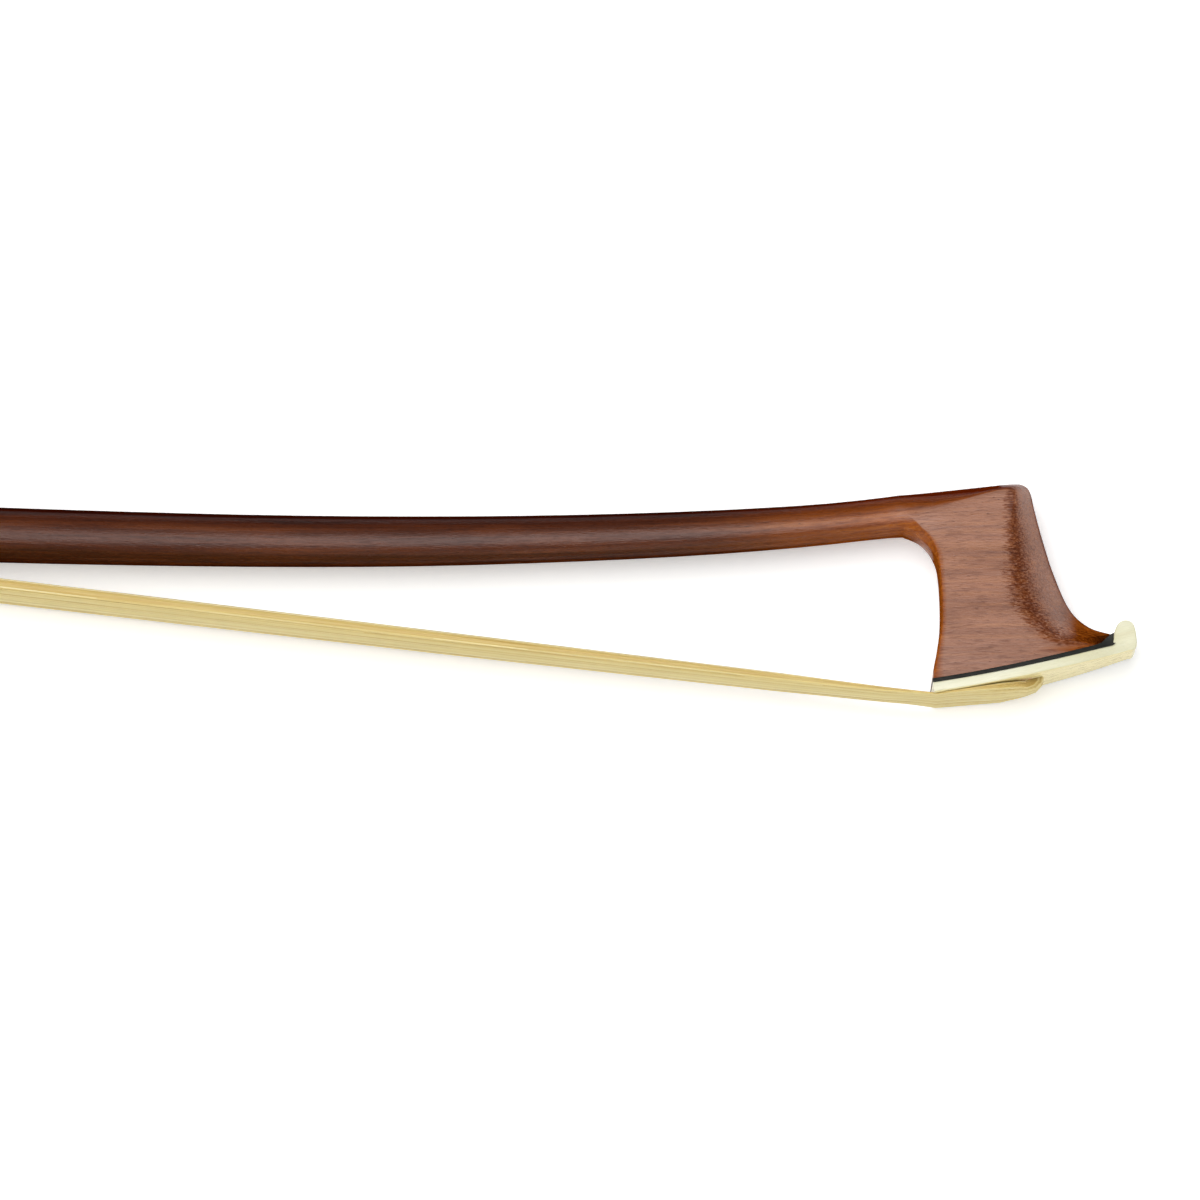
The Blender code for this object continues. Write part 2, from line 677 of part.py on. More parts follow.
def ferrule_outline(inset):
    """D shape: flat below with round corners, upright sides and an arched top."""
    half = FERRULE_HALF_WIDTH - inset
    corner = FERRULE_CORNER - inset * 0.6
    low = FROG_BOTTOM + inset
    right = ellipse_arc((half - corner, low + corner), (corner, corner), -90, 0, 3)
    rise = FERRULE_TOP - FERRULE_ARCH_BASE - inset
    arch = ellipse_arc((0, FERRULE_ARCH_BASE), (half, rise), 0, 180, 14)
    left = [(-y, z) for y, z in reversed(right)]
    return right + arch + left


def frog_shoulder(side):
    """Wedge that slopes the cheek in towards the stick above the thumb hollow."""
    rings = []
    for x in (FROG_BACK - mm, FROG_BACK + THUMB_FRONT + mm):
        cheek = frog_half_width(x)
        top = Vector((x, SHOULDER_HALF_WIDTH, FROG_TOP))
        bottom = Vector((x, cheek, FROG_TOP - SHOULDER_DEPTH))
        slope = (top - bottom) * 0.3
        outside = Vector((x, cheek + mm, FROG_TOP + mm))
        corners = (top + slope, bottom - slope, outside)
        rings.append([Vector((p.x, side * p.y, p.z)) for p in corners])
    return loft(rings)


def make_frog_body(handle):
    floor = FROG_BOTTOM + HEEL_THICKNESS + SEAT
    behind_heel = HEEL_THICKNESS + SEAT
    heel_step = HEEL_LENGTH + SEAT
    outline = [
        (0, FROG_TOP),
        (0, HEEL_TOP + SEAT),
        (behind_heel, HEEL_TOP + SEAT),
        (behind_heel, floor + THUMB_CORNER),
        (behind_heel + THUMB_CORNER, floor),
        (heel_step, floor),
        (heel_step, FROG_BOTTOM),
        (FROG_BODY_FRONT, FROG_BOTTOM),
        (FROG_BODY_FRONT, FERRULE_TOP),
    ]
    hollow = ellipse_arc(THUMB_HOLLOW_CENTRE, THUMB_HOLLOW_RADII, 255, 72, 14)
    outline += hollow
    outline += [
        THUMB_LIP,
        (THUMB_FRONT, -4.3 * mm),
        (THUMB_FRONT, FROG_TOP - THUMB_CORNER),
        (THUMB_FRONT - THUMB_CORNER, FROG_TOP),
    ]
    body = add_piece("frog_body", across(frog_outline(outline), frog_half_width), EBONY, handle)
    for side, name in ((-1, "left"), (1, "right")):
        combine(body, "shoulder_" + name, frog_shoulder(side))

    inset = FERRULE_WALL + SEAT
    tongue_top = [p for p in ferrule_outline(inset) if p[1] > TONGUE_BOTTOM]
    tongue_side = max(y for y, z in tongue_top)
    tongue = [(-tongue_side, TONGUE_BOTTOM), (tongue_side, TONGUE_BOTTOM), *tongue_top]
    tongue_span = (FROG_BACK + FROG_BODY_FRONT - 3 * mm, FROG_BACK + FROG_TONGUE_FRONT)
    combine(body, "tongue", along(tongue, *tongue_span), "UNION")

    trough = HANDLE_FLATS / 2 + RUNNING + UNDERSLIDE_THICKNESS + RUNNING
    combine(body, "stick_trough", turned(((-mm, trough), (60 * mm, trough)), octagon_on_axis))

    groove_top = BACKING_TOP + RUNNING
    groove = (
        (-BACKING_HALF_WIDTH, FROG_BOTTOM - mm),
        (BACKING_HALF_WIDTH, FROG_BOTTOM - mm),
        (BACKING_HALF_WIDTH + SEAT, groove_top),
        (-BACKING_HALF_WIDTH - SEAT, groove_top),
    )
    groove_span = (FROG_BACK + SLIDE_BACK - SEAT, FROG_BACK + FROG_BODY_FRONT + mm)
    combine(body, "slide_groove", along(groove, *groove_span))

    mortise_back, mortise_front = FROG_MORTISE
    channel_span = (FROG_BACK + mortise_front - mm, FROG_BACK + FROG_BODY_FRONT + 0.5 * mm)
    channel_height = (groove_top - 0.3 * mm, groove_top + mm)
    combine(body, "hair_channel", box(channel_span, SLIDE_HALF_WIDTH + 0.4 * mm, channel_height))

    mortise_span = (FROG_BACK + mortise_back, FROG_BACK + mortise_front)
    mortise_height = (FROG_BOTTOM - mm, FROG_MORTISE_TOP)
    combine(body, "hair_mortise", box(mortise_span, FROG_MORTISE_HALF_WIDTH, mortise_height))

    hole = turned(((STEM_BOTTOM - SEAT, STEM_RADIUS + SEAT), (0, STEM_RADIUS + SEAT)), short_ring)
    combine(body, "eyelet_hole", moved(hole, eyelet_frame()))

    for side, name in ((-1, "left"), (1, "right")):
        seat = turned(((-EYE_SEAT_DEPTH, EYE_RADIUS + SEAT), (mm, EYE_RADIUS + SEAT)))
        groove_ring = washer(EYE_RING_INNER - SEAT, EYE_RING_OUTER + SEAT, (-EYE_SEAT_DEPTH, mm))
        combine(body, "eye_seat_" + name, moved(seat, eye_frame(side)))
        combine(body, "ring_seat_" + name, moved(groove_ring, eye_frame(side)))


def washer(inner, outer, span):
    start, end = span
    profile = ((start, outer), (end, outer), (end, inner), (start, inner))
    return turned(profile, closed=True)


def eyelet_frame():
    """The eyelet's stem stands upright on the screw axis; x of this frame points up the stem."""
    centre = Matrix.Translation((FROG_BACK + EYELET_X, 0, 0))
    return centre @ Matrix.Rotation(-math.pi / 2, 4, "Y")


def eye_frame(side):
    """Frame on a cheek of the frog: its x points square out of the cheek."""
    x = FROG_BACK + EYE_X
    spread = math.atan((FROG_HALF_WIDTH_FRONT - FROG_HALF_WIDTH_BACK) / FERRULE_BACK)
    turn = side * (math.pi / 2 + spread)
    centre = Matrix.Translation((x, side * frog_half_width(x), EYE_Z))
    return centre @ Matrix.Rotation(turn, 4, "Z")


def make_eyes(handle):
    for side, name in ((-1, "left"), (1, "right")):
        disc = turned(((-EYE_THICKNESS, EYE_RADIUS), (0, EYE_RADIUS)))
        ring = washer(EYE_RING_INNER, EYE_RING_OUTER, (-EYE_THICKNESS, 0))
        add_piece("eye_" + name, moved(disc, eye_frame(side)), PEARL, handle)
        add_piece("eye_ring_" + name, moved(ring, eye_frame(side)), SILVER, handle)


def make_heel_plate(handle):
    inner_radius = HEEL_RADIUS - HEEL_THICKNESS
    centre = (HEEL_RADIUS, FROG_BOTTOM + HEEL_RADIUS)
    outer = ellipse_arc(centre, (HEEL_RADIUS, HEEL_RADIUS), 180, 270, 5)
    inner = ellipse_arc(centre, (inner_radius, inner_radius), 270, 180, 3)
    outline = [(0, HEEL_TOP), *outer, (HEEL_LENGTH, FROG_BOTTOM)]
    outline += [(HEEL_LENGTH, FROG_BOTTOM + HEEL_THICKNESS), *inner, (HEEL_THICKNESS, HEEL_TOP)]
    add_piece("heel_plate", across(frog_outline(outline), frog_half_width), SILVER, handle)


def make_underslide(handle):
    inner = HANDLE_FLATS / 2 + RUNNING
    outer = inner + UNDERSLIDE_THICKNESS
    corner = math.tan(math.pi / 8)
    profile = [
        (-inner, -inner * corner),
        (-inner * corner, -inner),
        (inner * corner, -inner),
        (inner, -inner * corner),
        (outer - RUNNING, -outer * corner - RUNNING),
        (outer * corner, -outer),
        (-outer * corner, -outer),
        (-outer + RUNNING, -outer * corner - RUNNING),
    ]
    span = (FROG_BACK + 0.2 * mm, FROG_BACK + THUMB_FRONT - 0.4 * mm)
    slide = add_piece("underslide", along(profile, *span), SILVER, handle)
    hole = turned(((-9 * mm, STEM_RADIUS + SEAT), (0, STEM_RADIUS + SEAT)), short_ring)
    combine(slide, "eyelet_hole", moved(hole, eyelet_frame()))


def make_ferrule(handle):
    start = FROG_BACK + FERRULE_BACK
    rings = []
    walls = ((0, start), (0, ferrule_mouth), (FERRULE_WALL, ferrule_mouth), (FERRULE_WALL, start))
    for inset, x in walls:
        rings.append([Vector((x, y, z)) for y, z in ferrule_outline(inset)])
    add_piece("ferrule", loft(rings, closed=True), SILVER, handle)


def make_hair_wedge(handle):
    top = TONGUE_BOTTOM - SEAT
    outline = (
        (38.0 * mm, top),
        (38.3 * mm, -20.0 * mm),
        (39.4 * mm, -HAIR_DROP + 0.5 * mm),
        (FROG_TONGUE_FRONT, -HAIR_DROP + 0.5 * mm),
        (FROG_TONGUE_FRONT, top),
    )
    add_piece("hair_wedge", across(frog_outline(outline), 5.9 * mm), MAPLE, handle)


def make_frog_plug_and_knot(handle):
    back = FROG_MORTISE[0] + SEAT
    outline = (
        (back, -19.75 * mm),
        (26.3 * mm, -19.75 * mm),
        (26.4 * mm, -19.2 * mm),
        (26.1 * mm, -16.6 * mm),
        (back + 0.4 * mm, -16.6 * mm),
    )
    plug = across(frog_outline(outline), FROG_MORTISE_HALF_WIDTH - SEAT)
    add_piece("frog_plug", plug, MAPLE, handle)
    centre = Matrix.Translation((FROG_BACK + 25.9 * mm, 0, -14.9 * mm))
    length = 2 * (FROG_MORTISE_HALF_WIDTH - 0.4 * mm)
    add_piece("frog_knot", moved(knot_shape(FROG_KNOT_RADIUS, length), centre), LINEN_THREAD, handle)


def make_slide(handle):
    pearl_top = FROG_BOTTOM + PEARL_THICKNESS
    half = SLIDE_HALF_WIDTH
    pearl = (
        (-half + RUNNING, FROG_BOTTOM),
        (half - RUNNING, FROG_BOTTOM),
        (half, pearl_top),
        (-half, pearl_top),
    )
    wing = BACKING_HALF_WIDTH
    backing = (
        (-wing + RUNNING, BACKING_BOTTOM),
        (wing - RUNNING, BACKING_BOTTOM),
        (wing, BACKING_TOP),
        (-wing, BACKING_TOP),
    )
    span = (FROG_BACK + SLIDE_BACK, FROG_BACK + SLIDE_FRONT)
    add_piece("pearl_slide", along(pearl, *span), PEARL, handle)
    add_piece("slide_backing", along(backing, *span), EBONY, handle)


def make_eyelet(handle):
    start = FROG_BACK + EYELET_X
    half = EYELET_HALF_WIDTH
    crown = ellipse_arc((0, EYELET_TOP - half), (half, half), 0, 180, 8)
    section = [(-half, EYELET_BOTTOM), (half, EYELET_BOTTOM), *crown]
    block = along(section, start - EYELET_HALF_LENGTH, start + EYELET_HALF_LENGTH)
    eyelet = add_piece("eyelet", block, BRASS, handle)
    stem = turned(((STEM_BOTTOM, STEM_RADIUS), (EYELET_BOTTOM + 0.4 * mm, STEM_RADIUS)), short_ring)
    combine(eyelet, "stem", moved(stem, eyelet_frame()), "UNION")
    bore_reach = EYELET_HALF_LENGTH + mm
    bore = turned(((start - bore_reach, EYELET_BORE), (start + bore_reach, EYELET_BORE)))
    combine(eyelet, "screw_bore", bore)


# Screw and button
def make_screw(handle):
    profile = (
        (SCREW_HEAD_END, SCREW_SHANK_RADIUS),
        (SCREW_SHANK_END, SCREW_SHANK_RADIUS),
        (SCREW_SHANK_END + 0.3 * mm, SCREW_THREAD_RADIUS),
        (SCREW_TIP - 1.2 * mm, SCREW_THREAD_RADIUS),
        (SCREW_TIP, 0.5 * mm),
    )
    add_piece("screw", turned(profile, short_ring), STEEL, handle)


def make_button(handle):
    half = BUTTON_HALF_FLATS
    front = (
        (BUTTON_CORE[1] + SEAT, half),
        (BUTTON_START - 0.5 * mm, half),
        (BUTTON_START, half - 0.3 * mm),
    )
    ring = add_piece("button_front_ring", turned(front, octagon_on_axis), SILVER, handle)
    bore = ((BUTTON_CORE[0] - mm, BUTTON_BORE), (mm, BUTTON_BORE))
    socket = ((TENON_SOCKET_END, TENON_SOCKET_RADIUS), (mm, TENON_SOCKET_RADIUS))
    combine(ring, "bore", turned(bore))
    combine(ring, "tenon_socket", turned(socket))

    middle = (BUTTON_CORE[0] + BUTTON_CORE[1]) / 2
    core_profile = ((BUTTON_CORE[0], half), (middle, half - 0.12 * mm), (BUTTON_CORE[1], half))
    core = add_piece("button_core", turned(core_profile, octagon_on_axis), EBONY, handle)
    combine(core, "bore", turned(((BUTTON_REAR[0], BUTTON_BORE), (mm, BUTTON_BORE))))

    rear = (
        (BUTTON_REAR[0], half - 0.8 * mm),
        (BUTTON_REAR[0] + 0.3 * mm, half - 0.35 * mm),
        (BUTTON_REAR[0] + 0.9 * mm, half - 0.08 * mm),
        (BUTTON_REAR[1], half),
    )
    ring = add_piece("button_rear_ring", turned(rear, octagon_on_axis), SILVER, handle)
    blind = ((SCREW_HEAD_END - SEAT, BUTTON_BORE), (BUTTON_REAR[1] + mm, BUTTON_BORE))
    seat_floor = BUTTON_REAR[0] + BUTTON_EYE_SEAT_DEPTH
    seat_radius = BUTTON_EYE_RADIUS + SEAT
    combine(ring, "bore", turned(blind))
    combine(ring, "eye_seat", turned(((BUTTON_REAR[0] - mm, seat_radius), (seat_floor, seat_radius))))

    eye = ((BUTTON_REAR[0], BUTTON_EYE_RADIUS), (seat_floor - SEAT, BUTTON_EYE_RADIUS))
    add_piece("button_eye", turned(eye), PEARL, handle)


# Laying the bow down
def resting_points():
    """Far-side points that touch the table: head lining, lip over the thumb hollow, ferrule."""
    heel_x, heel_z = on_foot(LINING_REST_X, LINING_TOP)
    head = Vector((heel_x, plate_half_width(heel_x), heel_z))
    lip_x = FROG_BACK + THUMB_LIP[0]
    frog = HANDLE @ Vector((lip_x, frog_half_width(lip_x), THUMB_LIP[1]))
    ferrule = HANDLE @ Vector((ferrule_mouth, FERRULE_HALF_WIDTH, FERRULE_ARCH_BASE))
    return head, frog, ferrule


def lying_turn():
    """Rotation that brings the resting points level, with the head towards +x."""
    head, frog, ferrule = resting_points()
    up = (frog - head).cross(ferrule - head).normalized()
    if up.y > 0:
        up.negate()
    along_table = (Vector((1, 0, 0)) - up * up.x).normalized()
    return Matrix((along_table, up.cross(along_table), up)).to_4x4()


def lay_on_table(bow):
    """Lays the bow on its side and puts the origin under the middle of it."""
    bow.matrix_world = lying_turn()
    bpy.context.view_layer.update()
    graph = bpy.context.evaluated_depsgraph_get()
    points = []
    for thing in bpy.context.scene.objects:
        if thing.type == "MESH" and not thing.hide_render:
            solid = thing.evaluated_get(graph)
            points += [solid.matrix_world @ vertex.co for vertex in solid.data.vertices]
    low = Vector([min(p[i] for p in points) for i in range(3)])
    high = Vector([max(p[i] for p in points) for i in range(3)])
    middle = (low + high) / 2
    bow.matrix_world = Matrix.Translation((-middle.x, -middle.y, -low.z)) @ bow.matrix_world


# The whole bow
def main():
    for old in list(bpy.data.objects):
        bpy.data.objects.remove(old)

    bow = bpy.data.objects.new("bow", None)
    handle = bpy.data.objects.new("handle", None)
    bpy.context.scene.collection.objects.link(bow)
    bpy.context.scene.collection.objects.link(handle)
    handle.parent = bow
    handle.matrix_local = HANDLE

    make_stick(bow)
    make_head_lining(bow)
    make_tip_plate(bow)
    make_tip_plug(bow)
    make_tip_knot(bow)
    add_piece("hair", hair_shape(), HORSEHAIR, bow)
    add_piece("thumb_grip", sleeve(GRIP, GRIP_THICKNESS, 0.45, 5), LEATHER, bow)
    add_piece("winding", sleeve(LAPPING, LAPPING_THICKNESS, 0.6, 9), SILVER, bow)

    make_frog_body(handle)
    make_underslide(handle)
    make_heel_plate(handle)
    make_ferrule(handle)
    make_hair_wedge(handle)
    make_frog_plug_and_knot(handle)
    make_slide(handle)
    make_eyes(handle)
    make_eyelet(handle)

    make_screw(handle)
    make_button(handle)

    lay_on_table(bow)


main()
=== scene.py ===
"""Looks of a viola bow that lies on its side on a pale table.

The bow frame has x along the hair towards the head, z from the hair up to the stick and y across
the bow, with its origin at the heel of the tip plate. The handle frame has the axis of the screw
as its x axis and starts at the butt of the stick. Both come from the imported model.
"""

import json
import math

import bmesh
import bpy
from mathutils import Matrix, Vector


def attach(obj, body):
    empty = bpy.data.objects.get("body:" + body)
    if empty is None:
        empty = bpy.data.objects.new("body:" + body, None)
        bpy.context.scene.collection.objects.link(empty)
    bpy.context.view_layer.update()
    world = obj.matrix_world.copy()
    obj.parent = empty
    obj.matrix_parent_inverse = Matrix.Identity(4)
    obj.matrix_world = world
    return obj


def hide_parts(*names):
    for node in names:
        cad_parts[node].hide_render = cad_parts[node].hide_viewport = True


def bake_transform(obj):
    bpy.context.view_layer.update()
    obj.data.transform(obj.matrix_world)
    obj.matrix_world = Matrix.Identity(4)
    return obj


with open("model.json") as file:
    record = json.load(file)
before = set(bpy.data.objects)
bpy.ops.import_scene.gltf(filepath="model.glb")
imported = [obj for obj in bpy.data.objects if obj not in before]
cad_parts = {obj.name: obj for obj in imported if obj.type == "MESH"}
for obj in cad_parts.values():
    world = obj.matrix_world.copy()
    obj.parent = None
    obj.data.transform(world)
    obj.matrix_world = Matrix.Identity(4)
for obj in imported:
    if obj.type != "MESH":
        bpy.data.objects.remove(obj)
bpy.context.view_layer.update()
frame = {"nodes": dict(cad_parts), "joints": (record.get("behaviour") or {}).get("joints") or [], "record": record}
mm = 0.001

# Stick: pernambuco, planed round with an octagonal handle and bent to its camber over a flame.
# The head is carved from the same piece: flat cheeks that flare to the foot, a chamfer round the
# throat and two facets that meet in a ridge at the front. Oiled and French polished.
HANDLE_TILT = math.radians(3.9)
HANDLE_LENGTH = 112 * mm
HANDLE_FLATS = 8.9 * mm
ROUND_START = 8.75 * mm
OCTAGON_END = 103 * mm
OCTAGON_FADE = 6 * mm
OCTAGON_CORNER = 1.068
PLAYING_Z = -1.65 * mm
FERRULE_X = 52.5 * mm
FERRULE_DROP = 20.8 * mm
BUTT_X = -703 * mm
BUTT_Z = PLAYING_Z + FERRULE_X * math.sin(HANDLE_TILT) + FERRULE_DROP * math.cos(HANDLE_TILT)

screw_turn = next(j for j in frame["joints"] if j["name"] == "screw_turn")
slide_face = next(m for m in frame["record"]["mounts"] if m["name"] == "pearl_slide_face")
handle_x = Vector(screw_turn["axis"]).normalized()
handle_y = (-Vector(slide_face["axis"])).cross(handle_x).normalized()
HANDLE = Matrix((handle_x, handle_y, handle_x.cross(handle_y))).transposed().to_4x4()
HANDLE.translation = Vector(screw_turn["pos_m"])
handle_in_bow = Matrix.Translation((BUTT_X, 0, BUTT_Z)) @ Matrix.Rotation(HANDLE_TILT, 4, "Y")
BOW = HANDLE @ handle_in_bow.inverted()
shaft_start = handle_in_bow @ Vector((HANDLE_LENGTH, 0, 0))

# Axis of the bent shaft: bow x and z, here in mm, and slope; then its diameters at bow x
CAMBER = (
    (-195, 3.3, 0.0),
    (-121, 5.7, 0.092),
    (-57, 12.85, 0.145),
    (-19, 19.3, 0.205),
    (-6.6, 22.15, 0.232),
)
CAMBER = [(x * mm, z * mm, slope) for x, z, slope in CAMBER]
CAMBER.insert(0, (shaft_start.x, shaft_start.z, -math.tan(HANDLE_TILT)))
THICKNESS = ((-592, 8.75), (-400, 8.3), (-250, 7.8), (-121, 7.15), (-70, 6.5), (-32, 5.75))
THICKNESS = [(x * mm, d * mm) for x, d in (*THICKNESS, (-13, 5.25), (-6.6, 5.34))]
# Cross-cuts that fan round the throat, in mm: throat x, z, crest x, z, throat chamfer, front
# facet, how far the round stick has turned into the head, sag
HEAD_CUTS = (
    (-6.00, 19.45, -7.2, 24.80, 1.40, 2.6, 0.00, 0.0),
    (-4.00, 18.92, -2.2, 25.95, 1.10, 2.3, 0.40, 0.0),
    (-2.60, 18.05, 2.8, 27.12, 0.85, 1.8, 0.75, 0.0),
    (-1.58, 16.95, 7.0, 28.08, 0.45, 1.2, 0.94, 0.0),
    (-1.13, 16.10, 8.7, 28.15, 0.26, 1.4, 0.99, 0.0),
    (-0.88, 15.30, 9.7, 27.30, 0.22, 2.1, 1.00, 0.0),
    (-0.50, 13.60, 10.6, 24.80, 0.20, 3.1, 1.00, 0.0),
    (-0.05, 10.80, 12.0, 21.20, 0.20, 3.7, 1.00, 0.0),
    (0.25, 7.80, 13.9, 16.90, 0.20, 4.1, 1.00, 0.0),
    (0.22, 5.00, 16.4, 12.60, 0.20, 4.5, 1.00, 0.1),
    (0.08, 2.90, 19.1, 10.55, 0.20, 5.0, 1.00, 0.3),
    (0.04, 1.50, 22.1, 9.95, 0.20, 5.2, 1.00, 0.4),
    (0.00, 0.38, 20.9, 7.86, 0.20, 0.6, 1.00, 0.40),
)
CUT_STEPS = 7
HEAD_TOP_HALF_WIDTH = 2.55 * mm
HEAD_TOP_Z = 27 * mm
CHEEK_ROUNDING = 2.4 * mm
BACK_CROWN = 0.12 * mm
BACK_NARROWEST = 0.5 * mm
FOOT_SLOPE = 0.275
FOOT_BEND = 3.8
PLATE_HALF_WIDTH = 5.2 * mm
PLATE_TAPER = 31 * mm
MORTISE_X = 11.4 * mm


def ramp(value, low, high):
    """How far a value has come from low to high, from 0 to 1."""
    return min(max((value - low) / (high - low), 0.0), 1.0)


def around(count):
    """Angles of a full turn in equal steps."""
    return [2 * math.pi * k / count for k in range(count)]


def steps_from(low, high, count):
    return [low + (high - low) * k / count for k in range(count + 1)]


def shaft_axis(x):
    """Height and slope of the shaft's axis at a bow x."""
    i = 0
    while i < len(CAMBER) - 2 and x > CAMBER[i + 1][0]:
        i += 1
    (x0, z0, s0), (x1, z1, s1) = CAMBER[i], CAMBER[i + 1]
    span = x1 - x0
    t = (x - x0) / span
    z = z0 * (2 * t**3 - 3 * t**2 + 1) + z1 * (3 * t**2 - 2 * t**3)
    z += span * (s0 * (t**3 - 2 * t**2 + t) + s1 * (t**3 - t**2))
    slope = (z0 - z1) * (6 * t**2 - 6 * t) / span
    slope += s0 * (3 * t**2 - 4 * t + 1) + s1 * (3 * t**2 - 2 * t)
    return z, slope


def thickness_at(x):
    for (x0, d0), (x1, d1) in zip(THICKNESS, THICKNESS[1:]):
        if x <= x1:
            return d0 + (d1 - d0) * max(0.0, (x - x0) / (x1 - x0))
    return THICKNESS[-1][1]


def stick_frame(distance):
    """Frame on the stick's axis at a distance from the butt, and the diameter there."""
    if distance <= HANDLE_LENGTH:
        diameter = HANDLE_FLATS + (ROUND_START - HANDLE_FLATS) * distance / HANDLE_LENGTH
        return handle_in_bow @ Matrix.Translation((distance, 0, 0)), diameter
    x = shaft_start.x + distance - HANDLE_LENGTH
    z, slope = shaft_axis(x)
    turn = Matrix.Rotation(-math.atan(slope), 4, "Y")
    return Matrix.Translation((x, 0, z)) @ turn, thickness_at(x)


def flats_at(distance):
    """1 where the handle is octagonal, 0 where the stick is round."""
    return 1 - min(max((distance - OCTAGON_END) / OCTAGON_FADE, 0.0), 1.0)


def stick_ring(distance, sides, grow=0.0):
    """Cross-section of the stick, octagonal on the handle, in the bow frame."""
    flats = flats_at(distance)
    place, diameter = stick_frame(distance)
    ring = []
    for angle in around(sides):
        from_flat = (angle + math.pi / 8) % (math.pi / 4) - math.pi / 8
        corner = min(1 / math.cos(from_flat), OCTAGON_CORNER)
        radius = (diameter / 2 + grow) * (1 + flats * (corner - 1))
        ring.append(place @ Vector((0, -radius * math.sin(angle), -radius * math.cos(angle))))
    return ring


def foot_z(x):
    return FOOT_SLOPE * x + FOOT_BEND * x * x


def on_foot(x, height):
    """Point at a height square to the foot of the head: x and z."""
    tilt = math.atan(FOOT_SLOPE + 2 * FOOT_BEND * x)
    return x - height * math.sin(tilt), foot_z(x) + height * math.cos(tilt)


def plate_half_width(x):
    return PLATE_HALF_WIDTH * (1 - max(x, 0.0) ** 3 / PLATE_TAPER**3)


def cheek(x, z):
    """Half width of the head."""
    rise = ramp(z, foot_z(max(x, 0.0)), HEAD_TOP_Z)
    return HEAD_TOP_HALF_WIDTH + (plate_half_width(x) - HEAD_TOP_HALF_WIDTH) * (1 - rise) ** 1.5


def head_row(i, t):
    """Cross-cut between cuts i and i + 1, on a curve that passes through all of them."""
    rows = HEAD_CUTS[:-1]
    before, after = rows[max(i - 1, 0)], rows[min(i + 2, len(rows) - 1)]
    row = []
    for p, a, b, n in zip(before, rows[i], rows[i + 1], after):
        bend, twist = 2 * p - 5 * a + 4 * b - n, 3 * a - p - 3 * b + n
        row.append(0.5 * (2 * a + (b - p) * t + bend * t**2 + twist * t**3))
    return row


def head_ring(row, sides):
    """Cross-cut of the head, from the throat along the near cheek to the crest and back."""
    throat = Vector((row[0], 0, row[1])) * mm
    crest = Vector((row[2], 0, row[3])) * mm
    chamfer, facet, sag = row[4] * mm, row[5] * mm, row[7] * mm
    carved = min(row[6], 1.0)
    span = crest - throat
    length = span.length
    down = Vector((span.z, 0, -span.x)).normalized()

    def at_cheek(v):
        p = throat + span * (v / length)
        return Vector((v, cheek(p.x, p.z)))

    edge = length - facet
    setback = min(CHEEK_ROUNDING, facet * 0.6)
    corner, ridge = at_cheek(edge), Vector((length, 0))
    bend_start = at_cheek(edge - setback)
    bend_end = corner.lerp(ridge, setback / facet)
    back = Vector((0, max(at_cheek(0).y - chamfer, BACK_NARROWEST)))
    steps, few = sides // 8, sides // 16
    shares = [k / steps for k in range(steps)]
    profile = [Vector((-BACK_CROWN * (1 - t**2), back.y * t)) for t in shares]
    profile += [back.lerp(at_cheek(chamfer), t) for t in shares]
    profile += [at_cheek(chamfer + (edge - setback - chamfer) * t) for t in shares]
    for t in [k / few for k in range(few)]:
        profile.append(bend_start.lerp(corner, t).lerp(corner.lerp(bend_end, t), t))
    profile += [bend_end.lerp(ridge, k / few) for k in range(few + 1)]

    so_far = [0.0]
    for a, b in zip(profile, profile[1:]):
        so_far.append(so_far[-1] + (b - a).length)
    half = []
    for k, point in enumerate(profile):
        even = k / (len(profile) - 1)
        angle = math.pi * (even + (so_far[k] / so_far[-1] - even) * min(2.5 * carved, 1.0))
        round_v = length / 2 * (1 - math.cos(angle))
        round_y = THICKNESS[-1][1] / 2 * math.sin(angle)
        v = round_v + (point.x - round_v) * carved
        y = round_y + (point.y - round_y) * carved
        t = v / length
        half.append(throat + span * t + down * (sag * 4 * t * (1 - t)) + Vector((0, -y, 0)))
    return half + [Vector((p.x, -p.y, p.z)) for p in half[-2:0:-1]]


def shell(name, rings, closed=False):
    """Skin over rings of points, joined in order; its ends are capped, or joined if closed."""
    sides, count = len(rings[0]), len(rings)
    faces = []
    for i in range(count if closed else count - 1):
        a, b = i * sides, (i + 1) % count * sides
        faces += [(a + k, a + (k + 1) % sides, b + (k + 1) % sides, b + k) for k in range(sides)]
    for start in () if closed else (0, (count - 1) * sides):
        for k in range(sides // 2):
            corners = dict.fromkeys((k, k + 1, sides - k - 1, (sides - k) % sides))
            faces.append(tuple(start + c for c in corners))
    return skin_of(name, [p for ring in rings for p in ring], faces)


def skin_of(name, points, faces):
    """Mesh with its doubles merged and its faces turned outwards."""
    mesh = bpy.data.meshes.new(name)
    mesh.from_pydata(points, [], faces)
    skin = bmesh.new()
    skin.from_mesh(mesh)
    bmesh.ops.remove_doubles(skin, verts=skin.verts, dist=0.0005 * mm)
    bmesh.ops.recalc_face_normals(skin, faces=skin.faces)
    skin.to_mesh(mesh)
    skin.free()
    return mesh


def store(mesh, name, values):
    """Stores a number or a vector on each point of a mesh."""
    if isinstance(values[0], float):
        mesh.attributes.new(name, "FLOAT", "POINT").data.foreach_set("value", values)
    else:
        flat = [c for value in values for c in value]
        mesh.attributes.new(name, "FLOAT_VECTOR", "POINT").data.foreach_set("vector", flat)


def piece(name, data, place=None):
    """Object at the origin, with its place in its mesh."""
    if place:
        data.transform(place)
    thing = bpy.data.objects.new(name, data)
    bpy.context.scene.collection.objects.link(thing)
    return thing


